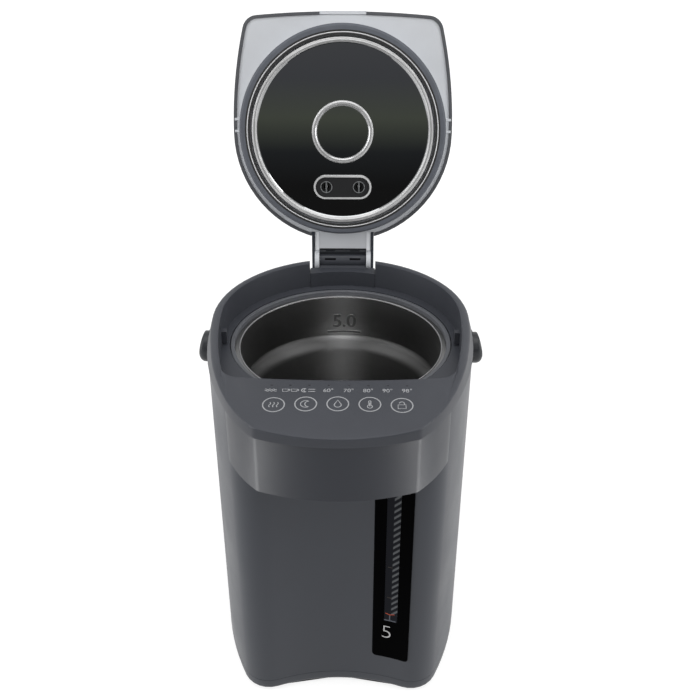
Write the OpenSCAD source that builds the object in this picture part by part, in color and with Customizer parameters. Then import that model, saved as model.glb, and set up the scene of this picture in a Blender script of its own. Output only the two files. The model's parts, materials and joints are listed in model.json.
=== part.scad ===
// Electric thermo pot: a pumped hot-water dispenser with a hinged lid, drawn with the lid open.
// Millimetres, +Z up, front towards -Y, origin on the counter under the axis of the inner pot.

/* [Body] */
// Height of the control deck above the counter
deck_z = 338; // [334:1:342]
// Wall of the body shell and of the deck
wall = 2.2; // [2:0.1:2.4]
// Height of the beak housing in front of the body
beak_h = 50; // [47:1:50]
// Height of the rubber feet below the base cover
foot_h = 2.5; // [2:0.25:3]

/* [Pot] */
// Inner radius of the pot wall
pot_r = 84.5; // [82.5:0.5:84.5]
// Thickness of the pot's steel
steel = 1; // [0.8:0.1:1]
// Room from the pot's wall to the outside of the body's round back
jacket = 31; // [30.5:0.5:32]

/* [Lid] */
// Angle that the lid stands open
lid_open = 100.2; // [0:0.2:100.2]
// Gap between the lid's edge and the well of the deck
lid_gap = 0.8; // [0.6:0.1:1]
// Radius of the hinge pin
pin_r = 2.5; // [2.3:0.1:2.7]
// Radial clearance of the running fits
fit = 0.05; // [0.03:0.01:0.08]

/* [Handle] */
// Distance from the handle's pivots to the middle of its grip
handle_len = 150; // [146:1:154]
// Radius of the grip
grip_r = 8; // [7.5:0.25:8.5]

/* [Water way] */
// Outer radius of the glass level tube
tube_r = 5; // [4.8:0.1:5.2]
// Bore radius of the hoses' spigots
way_r = 3.2; // [2.8:0.1:3.4]

/* [Hidden] */
$fn = 96;
eps = 0.01;

// round back, and the middle of the hollow front, of the deck's nose and of the well's front
body_r = pot_r + jacket;
front_y = -(pot_r + 27.5);
nose_y = front_y - 63.3;
well_y = front_y + 5;

// plan outlines: back radius, back centre y, side radius, corner radius, front radius
// (negative where the front is hollow) and y of the front's middle; the deck and its well add
// the radius and first angle of the cheek that leads each side into its corner, and the
// numbers of points of front, corner, cheek and side, so that their rings face each other
body_plan = [body_r, 1, 250, 25.4, -165, front_y];
deck_plan = [body_r, 1, 300, 10, 165, nose_y, 120, -26, [10, 6, 5, 9]];
well_plan = [body_r - 11.2, 3.5, 400, 15, 900, well_y, 400, -8, [16, 5, 4, 5]];

// levels
base_z = foot_h;
base_seam = 14;
seam_z = deck_z - 16;
beak_z = seam_z - beak_h;
well_z = deck_z - 25;
well_floor = 2;
lip_z = deck_z - 8;
crown_z = deck_z + 5;
rim_z = deck_z - 30.5;
deck_skin = 2.4;
slope_y = front_y + 12;
slope_a = 6.1;

// hinge
hinge_y = body_r + 11.2;
hinge_z = deck_z - 7;
barrel_w = 22.8;
barrel_r = 6.5;
cheek_in = barrel_w + 0.4;
cheek_out = cheek_in + 4.4;
neck_w = cheek_out + 2.9;
saddle_w = neck_w + 1.2;

// pot and its supports
pot_bottom = 50;
pot_corner = 12;
mouth_r = pot_r + 4.5;
flange_r = pot_r + 9;
collar_r = pot_r + 13;
shield_r = pot_r + 10.5;
cap_r = pot_r + 12;
shield_t = 1;
plate_z = 38;
plate_t = 2;
heater_t = 4.4;

// water way
spigot_r = way_r + 1;
hose_in = spigot_r + fit;
hose_out = hose_in + 1.9;
tube_x = 46;
tube_y = front_y + 3;
tube_z0 = 64;
tube_z1 = beak_z + 19;
pump_y = front_y + 50;
pump_z = 21.5;
outlet_x = 10;
outlet_y = pump_y;
heater_r = norm([outlet_x, outlet_y]) - 8.8;
hose_bend = 8.5;
rise = 9;
rise_bend = 12.5;
spout_y = front_y - 38;
duct_z = tube_z1 + 10;

// handle
pivot_y = 5;
pivot_z = deck_z - 36;
boss_x = body_r + 2;
boss_r = 14;
boss_t = 9;
boss_slant = 12.7;
handle_pin_r = 3.5;
arm_x = boss_x + 3.5;
arm_t = 5;
arm_w = 14;
handle_bend = 16;
hang = acos((body_r + 1.5 + grip_r - pivot_y) / handle_len);

// base
post_r = body_r - 22;
post_pos = [for (a = [-24, 41.5], s = [1, -1]) [s * post_r * cos(a), post_r * sin(a)]];
foot_pos = [for (s = [1, -1]) each [[s * (body_r - 49.5), front_y + 20],
    [s * (body_r - 55.5), body_r - 37.5]]];
screw_r = 1.5;
floor_t = 2.4;
floor_z = base_z + floor_t;
board_y = body_r - 85.5;

// hinge screws and the steam valve
bolt_x = 18;
bolt_y = hinge_y - 17.7;
steam_x = 15.5;
steam_y = cap_r - 45;

// ---- plan outlines -------------------------------------------------------------------------

// crossing of two circles; s picks the side
function meet(c0, r0, c1, r1, s) =
    let (v = c1 - c0, l = norm(v), a = (l * l + r0 * r0 - r1 * r1) / (2 * l))
    let (h = sqrt(max(0, r0 * r0 - a * a)), u = v / l)
    c0 + a * u + s * h * [-u[1], u[0]];

// points and outward normals along an arc, without its last point
function arc(c, r, a0, a1, n, s = 1) =
    [for (i = [0 : n - 1]) let (a = a0 + (a1 - a0) * i / n)
        [c[0] + r * cos(a), c[1] + r * sin(a), s * cos(a), s * sin(a)]];

// right half of a plan from the middle of the front to the middle of the back
function half_plan(p) =
    let (side = [p[0] - p[2], p[1]], front = [0, p[5] + p[4]], hollow = p[4] < 0)
    let (two = len(p) > 6, r = two ? p[6] : p[2], n = two ? p[8] : [9, 6, 5, 5])
    let (cheek = two ? side + (p[2] - r) * [cos(p[7]), sin(p[7])] : side)
    let (c = hollow ? meet(cheek, r - p[3], front, p[3] - p[4], 1)
                    : meet(cheek, r - p[3], front, p[4] - p[3], -1))
    let (a_side = atan2(c[1] - cheek[1], c[0] - cheek[0]), a_front = atan2(c[1] - front[1], c[0]))
    let (a_mid = two ? p[7] : a_side / 2)
    concat(
        hollow ? arc(front, -p[4], 90, a_front, n[0], -1) : arc(front, p[4], -90, a_front, n[0]),
        arc(c, p[3], hollow ? a_front - 180 : a_front, a_side, n[1]),
        arc(cheek, r, a_side, a_mid, n[2]),
        arc(side, p[2], a_mid, 0, n[3]),
        arc([0, p[1]], p[0], 0, 90, 18),
        [[0, p[1] + p[0], 0, 1]]);

function plan(p) =
    let (h = half_plan(p), n = len(h))
    concat(h, [for (i = [n - 2 : -1 : 1]) [-h[i][0], h[i][1], -h[i][2], h[i][3]]]);

// plan moved outwards by d
function moved(p, d) = [for (q = plan(p)) [q[0] + d * q[2], q[1] + d * q[3]]];

module prism(p, d, z0, z1) {
    translate([0, 0, z0])
        linear_extrude(z1 - z0)
            polygon(moved(p, d));
}

// ---- lofts ---------------------------------------------------------------------------------

// rows of side triangles between rings of equal length
function side_faces(rows, n, wrap) =
    [for (i = [0 : rows - (wrap ? 1 : 2)], j = [0 : n - 1], t = [0, 1])
        let (a = i * n, b = ((i + 1) % rows) * n, k = (j + 1) % n)
        t == 0 ? [a + j, b + j, b + k] : [a + j, b + k, a + k]];

// tube-like shell whose section is a closed loop of rings
module loop_loft(rings) {
    polyhedron(points = [for (r = rings) each r],
        faces = side_faces(len(rings), len(rings[0]), true), convexity = 8);
}

// solid between a first and a last flat ring
module stack_loft(rings) {
    n = len(rings[0]);
    m = len(rings);
    polyhedron(points = [for (r = rings) each r],
        faces = concat([[for (j = [0 : n - 1]) j]], side_faces(m, n, false),
            [[for (j = [n - 1 : -1 : 0]) (m - 1) * n + j]]), convexity = 8);
}

function flat_ring(p, d, z) = [for (q = moved(p, d)) [q[0], q[1], z]];
function small_ring(p, s, z) = [for (q = plan(p)) [q[0] * s, q[1] * s, z]];

// helical wire along X
module coil(r, wire, turns, pitch) {
    steps = 12;
    sides = 6;
    count = turns * steps;
    polyhedron(
        points = [for (i = [0 : count], j = [0 : sides - 1])
            let (a = 360 * i / steps, b = 360 * j / sides, q = r + wire * cos(b))
            [pitch * i / steps + wire * sin(b), q * cos(a), q * sin(a)]],
        faces = concat([[for (j = [0 : sides - 1]) j]],
            [for (i = [0 : count - 1], j = [0 : sides - 1], t = [0, 1])
                let (k = (j + 1) % sides, a = i * sides, b = a + sides)
                t == 0 ? [a + j, b + j, b + k] : [a + j, b + k, a + k]],
            [[for (j = [sides - 1 : -1 : 0]) count * sides + j]]), convexity = 6);
}

// ---- small helpers -------------------------------------------------------------------------

module box(x0, x1, y0, y1, z0, z1) {
    translate([x0, y0, z0])
        cube([x1 - x0, y1 - y0, z1 - z0]);
}

module rod_z(x, y, r, z0, z1) {
    translate([x, y, z0])
        cylinder(r = r, h = z1 - z0);
}

module rod_x(y, z, r, x0, x1) {
    translate([x0, y, z])
        rotate([0, 90, 0])
            cylinder(r = r, h = x1 - x0);
}

// rod that points to the front, from y1 down to y0
module rod_y(x, z, r, y0, y1) {
    translate([x, y1, z])
        rotate([90, 0, 0])
            cylinder(r = r, h = y1 - y0);
}

// y-z outline carried along X
module slab_x(points, x0, x1) {
    translate([x0, 0, 0])
        rotate([90, 0, 90])
            linear_extrude(x1 - x0)
                polygon(points);
}

module both_sides() {
    children();
    mirror([1, 0, 0])
        children();
}

// flat slot with round ends, long along X
module stadium(w, d, y, z0, z1) {
    box(-w / 2 + d / 2, w / 2 - d / 2, y - d / 2, y + d / 2, z0, z1);
    both_sides()
        rod_z(w / 2 - d / 2, y, d / 2, z0, z1);
}

module pipe_z(x, y, r_out, r_in, z0, z1) {
    difference() {
        rod_z(x, y, r_out, z0, z1);
        rod_z(x, y, r_in, z0 - eps, z1 + eps);
    }
}

// points of an arc in a y-z outline
function arc_yz(c, r, a0, a1, n) =
    [for (i = [0 : n]) let (a = a0 + (a1 - a0) * i / n) [c[0] + r * cos(a), c[1] + r * sin(a)]];

// ---- base ----------------------------------------------------------------------------------

module base_cover() {
    p = body_plan;
    lip_in = -wall - 0.2;
    difference() {
        union() {
            stack_loft([
                flat_ring(p, -4, base_z), flat_ring(p, -2.6, base_z + 0.4),
                flat_ring(p, -1.2, base_z + 1.3), flat_ring(p, -0.3, base_z + 2.8),
                flat_ring(p, 0, base_z + 4.4), flat_ring(p, 0, base_seam),
                flat_ring(p, lip_in, base_seam), flat_ring(p, lip_in, base_seam + 4),
                flat_ring(p, lip_in - 1.8, base_seam + 4), flat_ring(p, lip_in - 1.8, floor_z)]);
            for (q = post_pos)
                rod_z(q[0], q[1], 4.6, floor_z - 1, base_seam);
            for (x = [-44, 44], y = [board_y + 4, board_y + 50])
                rod_z(x, y, 3, floor_z - 1, 10);
        }
        for (q = post_pos) {
            rod_z(q[0], q[1], 3.2, base_z - 1, 10);
            rod_z(q[0], q[1], screw_r + 0.2, 5, base_seam + 1);
        }
        for (q = foot_pos)
            rod_z(q[0], q[1], 9.1, base_z - 1, base_z + 0.8);
        for (i = [-3 : 3])
            box(-28, 28, i * 8 - 1.5 - 8, i * 8 + 1.5 - 8, base_z - 1, floor_z + 1);
    }
}

module base_feet() {
    for (q = foot_pos)
        translate([q[0], q[1], 0])
            rotate_extrude()
                polygon([[0, 0], [8.2, 0], [9, 0.8], [9, base_z + 0.8], [0, base_z + 0.8]]);
}

module base_screws() {
    for (q = post_pos)
        difference() {
            union() {
                rod_z(q[0], q[1], 3, 7.8, 10);
                rod_z(q[0], q[1], screw_r, 9, 25);
            }
            translate([q[0], q[1], 7.3])
                for (a = [0, 90])
                    rotate([0, 0, a])
                        translate([-2, -0.4, 0])
                            cube([4, 0.8, 1.5]);
        }
}

// ---- body ----------------------------------------------------------------------------------

module body_shell() {
    z0 = base_seam + 0.3;
    difference() {
        union() {
            difference() {
                prism(body_plan, 0, z0, seam_z);
                prism(body_plan, -wall, z0 - 1, seam_z + 1);
            }
            for (q = post_pos) {
                rod_z(q[0], q[1], 4.5, z0, plate_z);
                intersection() {
                    prism(body_plan, -wall + 0.4, base_seam + 4.6, plate_z);
                    translate([q[0], q[1], base_seam + 4.6])
                        rotate([0, 0, atan2(q[1], q[0])])
                            translate([2, -1, 0])
                                cube([24, 2, plate_z - base_seam - 4.6]);
                }
            }
        }
        for (q = post_pos)
            rod_z(q[0], q[1], screw_r + fit, z0 - 1, 27);
        // opening towards the beak and the window of the level tube
        box(-58, 62, front_y - 18, front_y + 7, beak_z + 4, seam_z - 4);
        box(tube_x - 6, tube_x + 6, front_y - 18, front_y + 7, 88, beak_z + 5);
        // hinge notch at the back
        box(-saddle_w - 0.3, saddle_w + 0.3, hinge_y - 26.7, hinge_y, deck_z - 26, deck_z);
        both_sides()
            rod_x(pivot_y, pivot_z, handle_pin_r + 0.1, body_r - 15.5, body_r + 4.5);
        box(-17.2, 17.2, body_r - 15.5, body_r + 9.5, 21.8, 50.2);
    }
}

function beak_points(p, inset, back_y) =
    let (r = 4 - inset, cs = [p[0] - p[2], p[1]], cy = front_y - 11)
    let (cx = cs[0] + sqrt(pow(p[2] - 5, 2) - pow(cy - cs[1], 2)))
    let (a0 = atan2(cy - cs[1], cx - cs[0]), ring = moved(p, -1 - inset))
    let (in_x = body_r - 39.5 - inset, half = concat(
        [for (q = ring) if (q[0] >= 0 && q[1] < cy - 2.6) q],
        arc_yz([cx, cy], r, a0, 90, 5),
        [[in_x, back_y], [in_x, front_y + 7]]))
    concat(half, [for (i = [len(half) - 1 : -1 : 1]) [-half[i][0], half[i][1]]]);

module beak_housing() {
    skin = 2.4;
    difference() {
        translate([0, 0, beak_z])
            linear_extrude(beak_h)
                polygon(beak_points(deck_plan, 0, front_y - 7));
        translate([0, 0, beak_z + skin])
            linear_extrude(beak_h)
                polygon(beak_points(deck_plan, skin, front_y - 7 - skin));
        prism(body_plan, 0.1, beak_z - 1, seam_z + 1);
        rod_z(0, spout_y, 8.2, beak_z - 1, beak_z + 4);
    }
}

// height of the deck's top: level over the well, falling towards the front
function deck_top(y) = deck_z - tan(slope_a) * max(0, slope_y - y);
// the edge is rounder at the sides and the back than at the front
function edge_k(y) = 0.75 - 0.45 * min(1, max(0, (front_y + 52 - y) / 90));

// the deck's sides lean in above the seam, but not its back or its nose
function lean(q) = 3.4 * q[2] * q[2] * min(1, max(0, (q[1] - front_y + 2) / 60));

function deck_ring(p, d, h, edge) =
    [for (q = plan(p)) let (e = edge ? edge_k(q[1]) : 1, k = d * e - (edge ? lean(q) : 0))
        let (y = q[1] + k * q[3])
        [q[0] + k * q[2], y, deck_top(y) - h * e]];

function skin_ring(p, d, h) =
    [for (q = plan(p)) let (k = d - lean(q), y = q[1] + k * q[3])
        [q[0] + k * q[2], y, deck_top(y) - h]];

module control_deck() {
    p = deck_plan;
    w = well_plan;
    well_angle = [for (q = plan(w)) atan2(q[1], q[0])];
    hole = collar_r + 0.5;
    difference() {
        union() {
            loop_loft([
                flat_ring(p, 0, seam_z), deck_ring(p, 0, 4, true), deck_ring(p, -0.3, 2.5, true),
                deck_ring(p, -1.2, 1.2, true), deck_ring(p, -2.5, 0.3, true),
                deck_ring(p, -4, 0, true),
                deck_ring(w, 0.7, 0, false), deck_ring(w, 0.2, 0.3, false),
                deck_ring(w, 0, 1, false), flat_ring(w, 0, well_z),
                [for (a = well_angle) [hole * cos(a), hole * sin(a), well_z]],
                [for (a = well_angle) [hole * cos(a), hole * sin(a), well_z - well_floor]],
                flat_ring(w, 2, well_z - well_floor), deck_ring(w, 2, deck_skin, false),
                skin_ring(p, -wall - 1.6, deck_skin), skin_ring(p, -wall, deck_skin + 2.4),
                flat_ring(p, -wall, seam_z)]);
            both_sides()
                box(body_r - 16, body_r - 10, -12, -6, well_z + 2, well_z + 13);
            // ledge under the hinge bracket
            box(-24, 24, body_r - 11.2, body_r - 4.9, well_z - well_floor, well_z);
            translate([0, slope_y, deck_z])
                rotate([slope_a, 0, 0])
                    for (x = [-54, 54], y = [-46, -15])
                        rod_z(x, y, 3.2, -5.4, -2);
        }
        box(-saddle_w - 0.3, saddle_w + 0.3, hinge_y - 26.7, hinge_y, deck_z - 26, deck_z + 1);
        box(-22.2, 22.2, well_y - 5, well_y + 1, lip_z - 0.2, lip_z + 4.8);
        both_sides()
            rod_z(bolt_x, bolt_y, 1.7, well_z - 5, well_z);
    }
}

// ---- pot -----------------------------------------------------------------------------------

module pot_collar() {
    top = deck_z - 25.3;
    rotate_extrude()
        polygon([[flange_r - 2, rim_z - 2.5], [collar_r, rim_z - 2.5], [collar_r, top - 0.6],
            [collar_r - 0.6, top], [flange_r + 0.8, top], [flange_r + 0.2, top - 0.6],
            [flange_r + 0.2, rim_z], [flange_r - 2, rim_z]]);
}

// inner outline of the pot's wall, moved outwards by t
function pot_side(t) = concat(
    [for (i = [0 : 8]) let (a = -90 + 90 * i / 8)
        [pot_r - pot_corner + (pot_corner + t) * cos(a),
            pot_bottom + pot_corner + (pot_corner + t) * sin(a)]],
    [[pot_r + t, rim_z - 57.5], [pot_r + 4 + t, rim_z - 42.5], [pot_r + 4.9 + t, rim_z - 41],
        [pot_r + 4.9 + t, rim_z - 39.6], [mouth_r + t, rim_z - 38.6], [mouth_r + t, rim_z]]);

module inner_pot() {
    inside = pot_side(0);
    outside = pot_side(steel);
    n = len(inside);
    difference() {
        rotate_extrude()
            polygon(concat(
                [[0, pot_bottom - steel]], outside,
                [[flange_r, rim_z], [flange_r, rim_z + steel], [mouth_r, rim_z + steel]],
                [for (i = [n - 2 : -1 : 0]) inside[i]], [[0, pot_bottom]]));
        rod_z(outlet_x, outlet_y, way_r + 1.4, pot_bottom - 5, pot_bottom + 5);
    }
}

module pot_outlet() {
    top = pot_bottom - steel;
    difference() {
        union() {
            rod_z(outlet_x, outlet_y, 8, top - 2.5, top);
            rod_z(outlet_x, outlet_y, spigot_r, pump_z + hose_bend, top - 1);
        }
        rod_z(outlet_x, outlet_y, way_r, pump_z, top + 1);
    }
}

module heater_plate() {
    top = pot_bottom - steel;
    rod_z(0, 0, heater_r, top - heater_t, top);
    translate([0, 0, top - heater_t])
        rotate_extrude()
            translate([heater_r - 9, 0])
                circle(r = 3.2);
    for (a = [150, 170])
        rotate([0, 0, a])
            box(heater_r - 11.5, heater_r - 6.5, -3, 3, top - heater_t - 8, top - heater_t - 1);
}

module warm_band() {
    r = pot_r + steel + 0.1;
    difference() {
        pipe_z(0, 0, r + 1.6, r, 66, 100);
        box(-4, 4, r - 10, r + 10, 60, 110);
    }
}

module thermostats() {
    top = pot_bottom - steel - heater_t;
    for (q = [[-22, 18], [24, 8]]) {
        rod_z(q[0], q[1], 8, top - 1.2, top);
        rod_z(q[0], q[1], 6.5, top - 6.7, top - 1);
        for (s = [-1, 1])
            box(q[0] + s * 4 - 0.4, q[0] + s * 4 + 0.4, q[1] - 2.4, q[1] + 2.4, top - 12, top - 6);
    }
}

module temp_sensor() {
    top = pot_bottom - steel - heater_t;
    rod_z(0, -12, 5, top - 3, top);
    rod_z(0, -12, 3, top - 9, top - 2);
}

module thermal_fuse() {
    z = pot_bottom - steel - heater_t - 2.5;
    rod_x(heater_r - 22, z, 2.5, -9, 9);
    rod_x(heater_r - 22, z, 0.6, -16, 16);
}

module heat_shield() {
    pipe_z(0, 0, shield_r + shield_t, shield_r, plate_z + plate_t, rim_z - 2.5);
}

module pot_support() {
    difference() {
        rod_z(0, 0, shield_r + 2, plate_z, plate_z + plate_t);
        rod_z(0, 0, 52, plate_z - 1, plate_z + plate_t + 1);
        rod_z(outlet_x, outlet_y, 8, plate_z - 1, plate_z + plate_t + 1);
        for (a = [20 : 40 : 340])
            rotate([0, 0, a])
                rod_z(shield_r - 19, 0, 5, plate_z - 1, plate_z + plate_t + 1);
    }
}

// ---- pump and water way --------------------------------------------------------------------

module at_pump() {
    translate([tube_x, pump_y, pump_z])
        children();
}

module pump_housing() {
    at_pump()
        difference() {
            union() {
                rod_x(0, 0, 15, -5, 6.5);
                rod_y(0, rise, spigot_r, -24, -6);
            }
            rod_x(0, 0, 13, -6, 5);
            rod_y(0, rise, way_r, -25, -3);
        }
}

module pump_cover() {
    at_pump()
        difference() {
            union() {
                rod_x(0, 0, 15, -8, -5);
                rod_x(0, 0, spigot_r, -20, -7);
            }
            rod_x(0, 0, way_r, -21, -4);
        }
}

module pump_impeller() {
    at_pump()
        difference() {
            union() {
                rod_x(0, 0, 11.6, 1.5, 3.5);
                rod_x(0, 0, 3.2, -3.5, 2);
                for (a = [0 : 60 : 300])
                    rotate([a, 0, 0])
                        box(-3.5, 2, 2.4, 11.3, -0.7, 0.7);
            }
            rod_x(0, 0, 1 + fit, -4, 4);
        }
}

module pump_shaft() {
    at_pump()
        rod_x(0, 0, 1, -4.6, 5);
}

module drive_magnet() {
    at_pump()
        difference() {
            union() {
                rod_x(0, 0, 11.5, 8, 13);
                rod_x(0, 0, 4, 12, 14.5);
                rod_x(0, 0, 1.2, 14, 21);
            }
            for (a = [45 : 90 : 315])
                rotate([a, 0, 0])
                    box(7, 9, 5, 12, -0.6, 0.6);
        }
}

module pump_motor() {
    at_pump()
        difference() {
            union() {
                rod_x(0, 0, 13.5, 15.5, 37);
                rod_x(0, 0, 6, 36, 39.5);
                for (s = [-1, 1])
                    box(36, 42, s * 9 - 0.4, s * 9 + 0.4, -2.5, 2.5);
            }
            rod_x(0, 0, 1.2 + fit, 15, 22);
        }
}

module pump_bracket() {
    at_pump() {
        difference() {
            union() {
                rod_x(0, 0, 15, 6.5, 15.5);
                box(6.5, 15.5, -13, 13, floor_z - pump_z, -10);
            }
            rod_x(0, 0, 12.5, 6, 16);
        }
    }
}

module suction_hose() {
    z = pump_z + hose_bend;
    pipe_z(outlet_x, outlet_y, hose_out, hose_in, z - eps, pot_bottom - steel - 3.5);
    translate([outlet_x + hose_bend, outlet_y, z])
        rotate([90, 0, 0])
            rotate([0, 0, 180])
                rotate_extrude(angle = 90)
                    translate([hose_bend, 0])
                        difference() {
                            circle(r = hose_out);
                            circle(r = hose_in);
                        }
    difference() {
        rod_x(outlet_y, pump_z, hose_out, outlet_x + hose_bend - eps, tube_x - 9);
        rod_x(outlet_y, pump_z, hose_in, outlet_x + hose_bend - 1, tube_x);
    }
}

// run of the delivery hose, filled to radius r
module delivery_run(r) {
    z = pump_z + rise;
    y = tube_y + rise_bend;
    rod_y(tube_x, z, r, y, pump_y - 16);
    translate([tube_x, y, z + rise_bend])
        rotate([0, 90, 0])
            rotate([180, 0, 0])
                rotate_extrude(angle = 90)
                    translate([rise_bend, 0])
                        circle(r = r);
    rod_z(tube_x, tube_y, r, z + rise_bend, 60);
}

module delivery_hose() {
    difference() {
        delivery_run(hose_out);
        delivery_run(hose_in);
    }
}

module tube_cap() {
    difference() {
        union() {
            rod_z(tube_x, tube_y, spigot_r, 48, 63);
            rod_z(tube_x, tube_y, tube_r + 1.5, 61, tube_z0 + 9);
        }
        rod_z(tube_x, tube_y, way_r, 47, tube_z0 + 1);
        rod_z(tube_x, tube_y, tube_r + fit, tube_z0, tube_z0 + 10);
    }
}

module level_tube() {
    pipe_z(tube_x, tube_y, tube_r, tube_r - 1, tube_z0, tube_z1);
}

module along_duct() {
    translate([tube_x, tube_y, duct_z])
        rotate([0, 0, atan2(spout_y - tube_y, -tube_x)])
            children();
}

module spill_valve() {
    difference() {
        union() {
            rod_z(tube_x, tube_y, tube_r + 2, tube_z1 - 6, tube_z1 + 4);
            rod_z(tube_x, tube_y, 8, tube_z1 + 2, tube_z1 + 18);
        }
        rod_z(tube_x, tube_y, tube_r + fit, tube_z1 - 7, tube_z1);
        rod_z(tube_x, tube_y, way_r, tube_z1 - 1, tube_z1 + 4);
        rod_z(tube_x, tube_y, 6, tube_z1 + 3, tube_z1 + 16);
        along_duct()
            rod_x(0, 0, 3.5, 2, 12);
    }
}

module spill_ball() {
    translate([tube_x, tube_y, tube_z1 + 6.8])
        sphere(r = 4.6);
}

module spout_duct() {
    reach = norm([tube_x, spout_y - tube_y]);
    difference() {
        union() {
            along_duct()
                rod_x(0, 0, 5, 8.4, reach);
            rod_z(0, spout_y, 7, duct_z - 7, duct_z + 6.5);
            rod_z(0, spout_y, 6, beak_z + 5.5, duct_z);
        }
        along_duct()
            rod_x(0, 0, 3.5, 7, reach);
        rod_z(0, spout_y, 4, beak_z + 4, duct_z + 3.4);
    }
}

module spout_nozzle() {
    difference() {
        union() {
            rod_z(0, spout_y, 8, beak_z - 6, beak_z + 14);
            rod_z(0, spout_y, 10.5, beak_z + 2.4, beak_z + 4.2);
        }
        rod_z(0, spout_y, 4, beak_z - 7, beak_z + 6);
        rod_z(0, spout_y, 6 + fit, beak_z + 5.3, beak_z + 15);
        rod_z(0, spout_y, 6, beak_z - 7, beak_z - 4);
    }
}

// ---- water gauge ---------------------------------------------------------------------------

front_c = body_plan[5] + body_plan[4];
front_r = -body_plan[4];

// strip of the hollow front face between two radii about its axis
module face_strip(r_in, r_out, x0, x1, z0, z1) {
    intersection() {
        translate([0, front_c, z0])
            difference() {
                cylinder(r = r_out, h = z1 - z0, $fn = 360);
                translate([0, 0, -1])
                    cylinder(r = r_in, h = z1 - z0 + 2, $fn = 360);
            }
        box(x0, x1, front_y - 13, front_y + 7, z0 - 1, z1 + 1);
    }
}

module gauge_panel() {
    r = 4;
    x0 = 30;
    x1 = 62.5;
    z0 = 41;
    difference() {
        face_strip(front_r - 0.75, front_r - 0.05, x0, x1, z0, beak_z - 1);
        box(tube_x - 5.8, tube_x + 5.8, front_y - 18, front_y + 7, 88, beak_z);
        for (s = [0, 1])
            translate([s == 0 ? x0 : x1, 0, z0])
                difference() {
                    box(-r, r, front_y - 18, front_y + 7, -r, r);
                    rod_y(s == 0 ? r : -r, r, r, front_y - 19, front_y + 8);
                }
    }
}

module gauge_lens() {
    face_strip(front_r - 0.7, front_r - 0.1, tube_x - 5.7, tube_x + 5.7, 88.1, beak_z - 1.1);
}

// ---- electrics -----------------------------------------------------------------------------

module on_slope() {
    translate([0, slope_y, deck_z])
        rotate([slope_a, 0, 0])
            children();
}

module touch_board() {
    on_slope() {
        box(-58, 58, -50, -11, -7, -5.4);
        box(-20, 20, -26, -15, -8.6, -7);
        box(30, 44, -30, -20, -10, -7);
    }
}

module touch_pads() {
    on_slope()
        for (i = [-2 : 2])
            rod_z(24.1 * i, -35.6, 6.5, -5.4, -2.55);
}

module power_board() {
    translate([0, board_y, 0])
        difference() {
            union() {
                box(-50, 50, 0, 55, 10, 11.6);
                box(-44, -20, 10, 32, 11, 25);
                box(-12, 4, 14, 26, 11, 23);
                box(14, 44, 34, 50, 11, 18);
                rod_z(26, 18, 6, 11, 26);
                rod_z(8, 44, 4.5, 11, 22);
            }
            for (x = [-44, 44], y = [4, 50])
                rod_z(x, y, 1, 9, 12);
        }
}

module mains_inlet() {
    difference() {
        union() {
            box(-17, 17, body_r - 17.5, body_r + 1.5, 22, 50);
            difference() {
                box(-20, 20, body_r - 5.5, body_r + 2.7, 19, 53);
                prism(body_plan, 0.05, 10, 60);
            }
        }
        box(-13, 13, body_r - 10.5, body_r + 4.5, 26, 46);
    }
    both_sides()
        rod_y(6, 36, 2, body_r - 11.5, body_r - 2.5);
}

// ---- handle --------------------------------------------------------------------------------

module handle_seats() {
    both_sides()
        difference() {
            rod_x(pivot_y, pivot_z, boss_r + 2, boss_x - 9.5, boss_x - 0.3);
            prism(body_plan, 0.05, pivot_z - 30, pivot_z + 30);
            rod_x(pivot_y, pivot_z, handle_pin_r + 0.1, boss_x - 10.5, boss_x + 2.5);
        }
}

module handle_pins() {
    both_sides() {
        rod_x(pivot_y, pivot_z, handle_pin_r, boss_x - 6.5, boss_x + 4);
        rod_x(pivot_y, pivot_z, 7, boss_x - 7.9, boss_x - 5.6);
    }
}

module handle() {
    translate([0, pivot_y, pivot_z])
        rotate([-hang, 0, 0]) {
            both_sides()
                difference() {
                    union() {
                        difference() {
                            translate([boss_x, 0, 0])
                                rotate([0, 90, 0])
                                    rotate_extrude()
                                        polygon(concat([[0, 0], [boss_r, 0]],
                                            arc_yz([boss_r - 5.5, boss_t - 5.5], 5.5, 0, 90, 8),
                                            [[0, boss_t]]));
                            // the outside slopes in towards the top
                            translate([boss_x + boss_t, 0, 5 - boss_r])
                                rotate([0, -boss_slant, 0])
                                    box(0, 20, -30, 30, 0, 60);
                        }
                        box(arm_x - arm_t / 2, arm_x + arm_t / 2, 0, handle_len - handle_bend,
                            -arm_w / 2, arm_w / 2);
                    }
                    rod_x(0, 0, handle_pin_r + fit, boss_x - 1, boss_x + 4.6);
                }
            both_sides()
                translate([arm_x - handle_bend, handle_len - handle_bend, -arm_w / 2])
                    rotate_extrude(angle = 90)
                        translate([handle_bend - arm_t / 2, 0])
                            square([arm_t, arm_w]);
            box(handle_bend - arm_x, arm_x - handle_bend, handle_len - arm_t / 2,
                handle_len + arm_t / 2, -arm_w / 2, arm_w / 2);
            rod_x(handle_len, 0, grip_r, 30 - arm_x, arm_x - 30);
        }
}

// ---- hinge ---------------------------------------------------------------------------------

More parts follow.
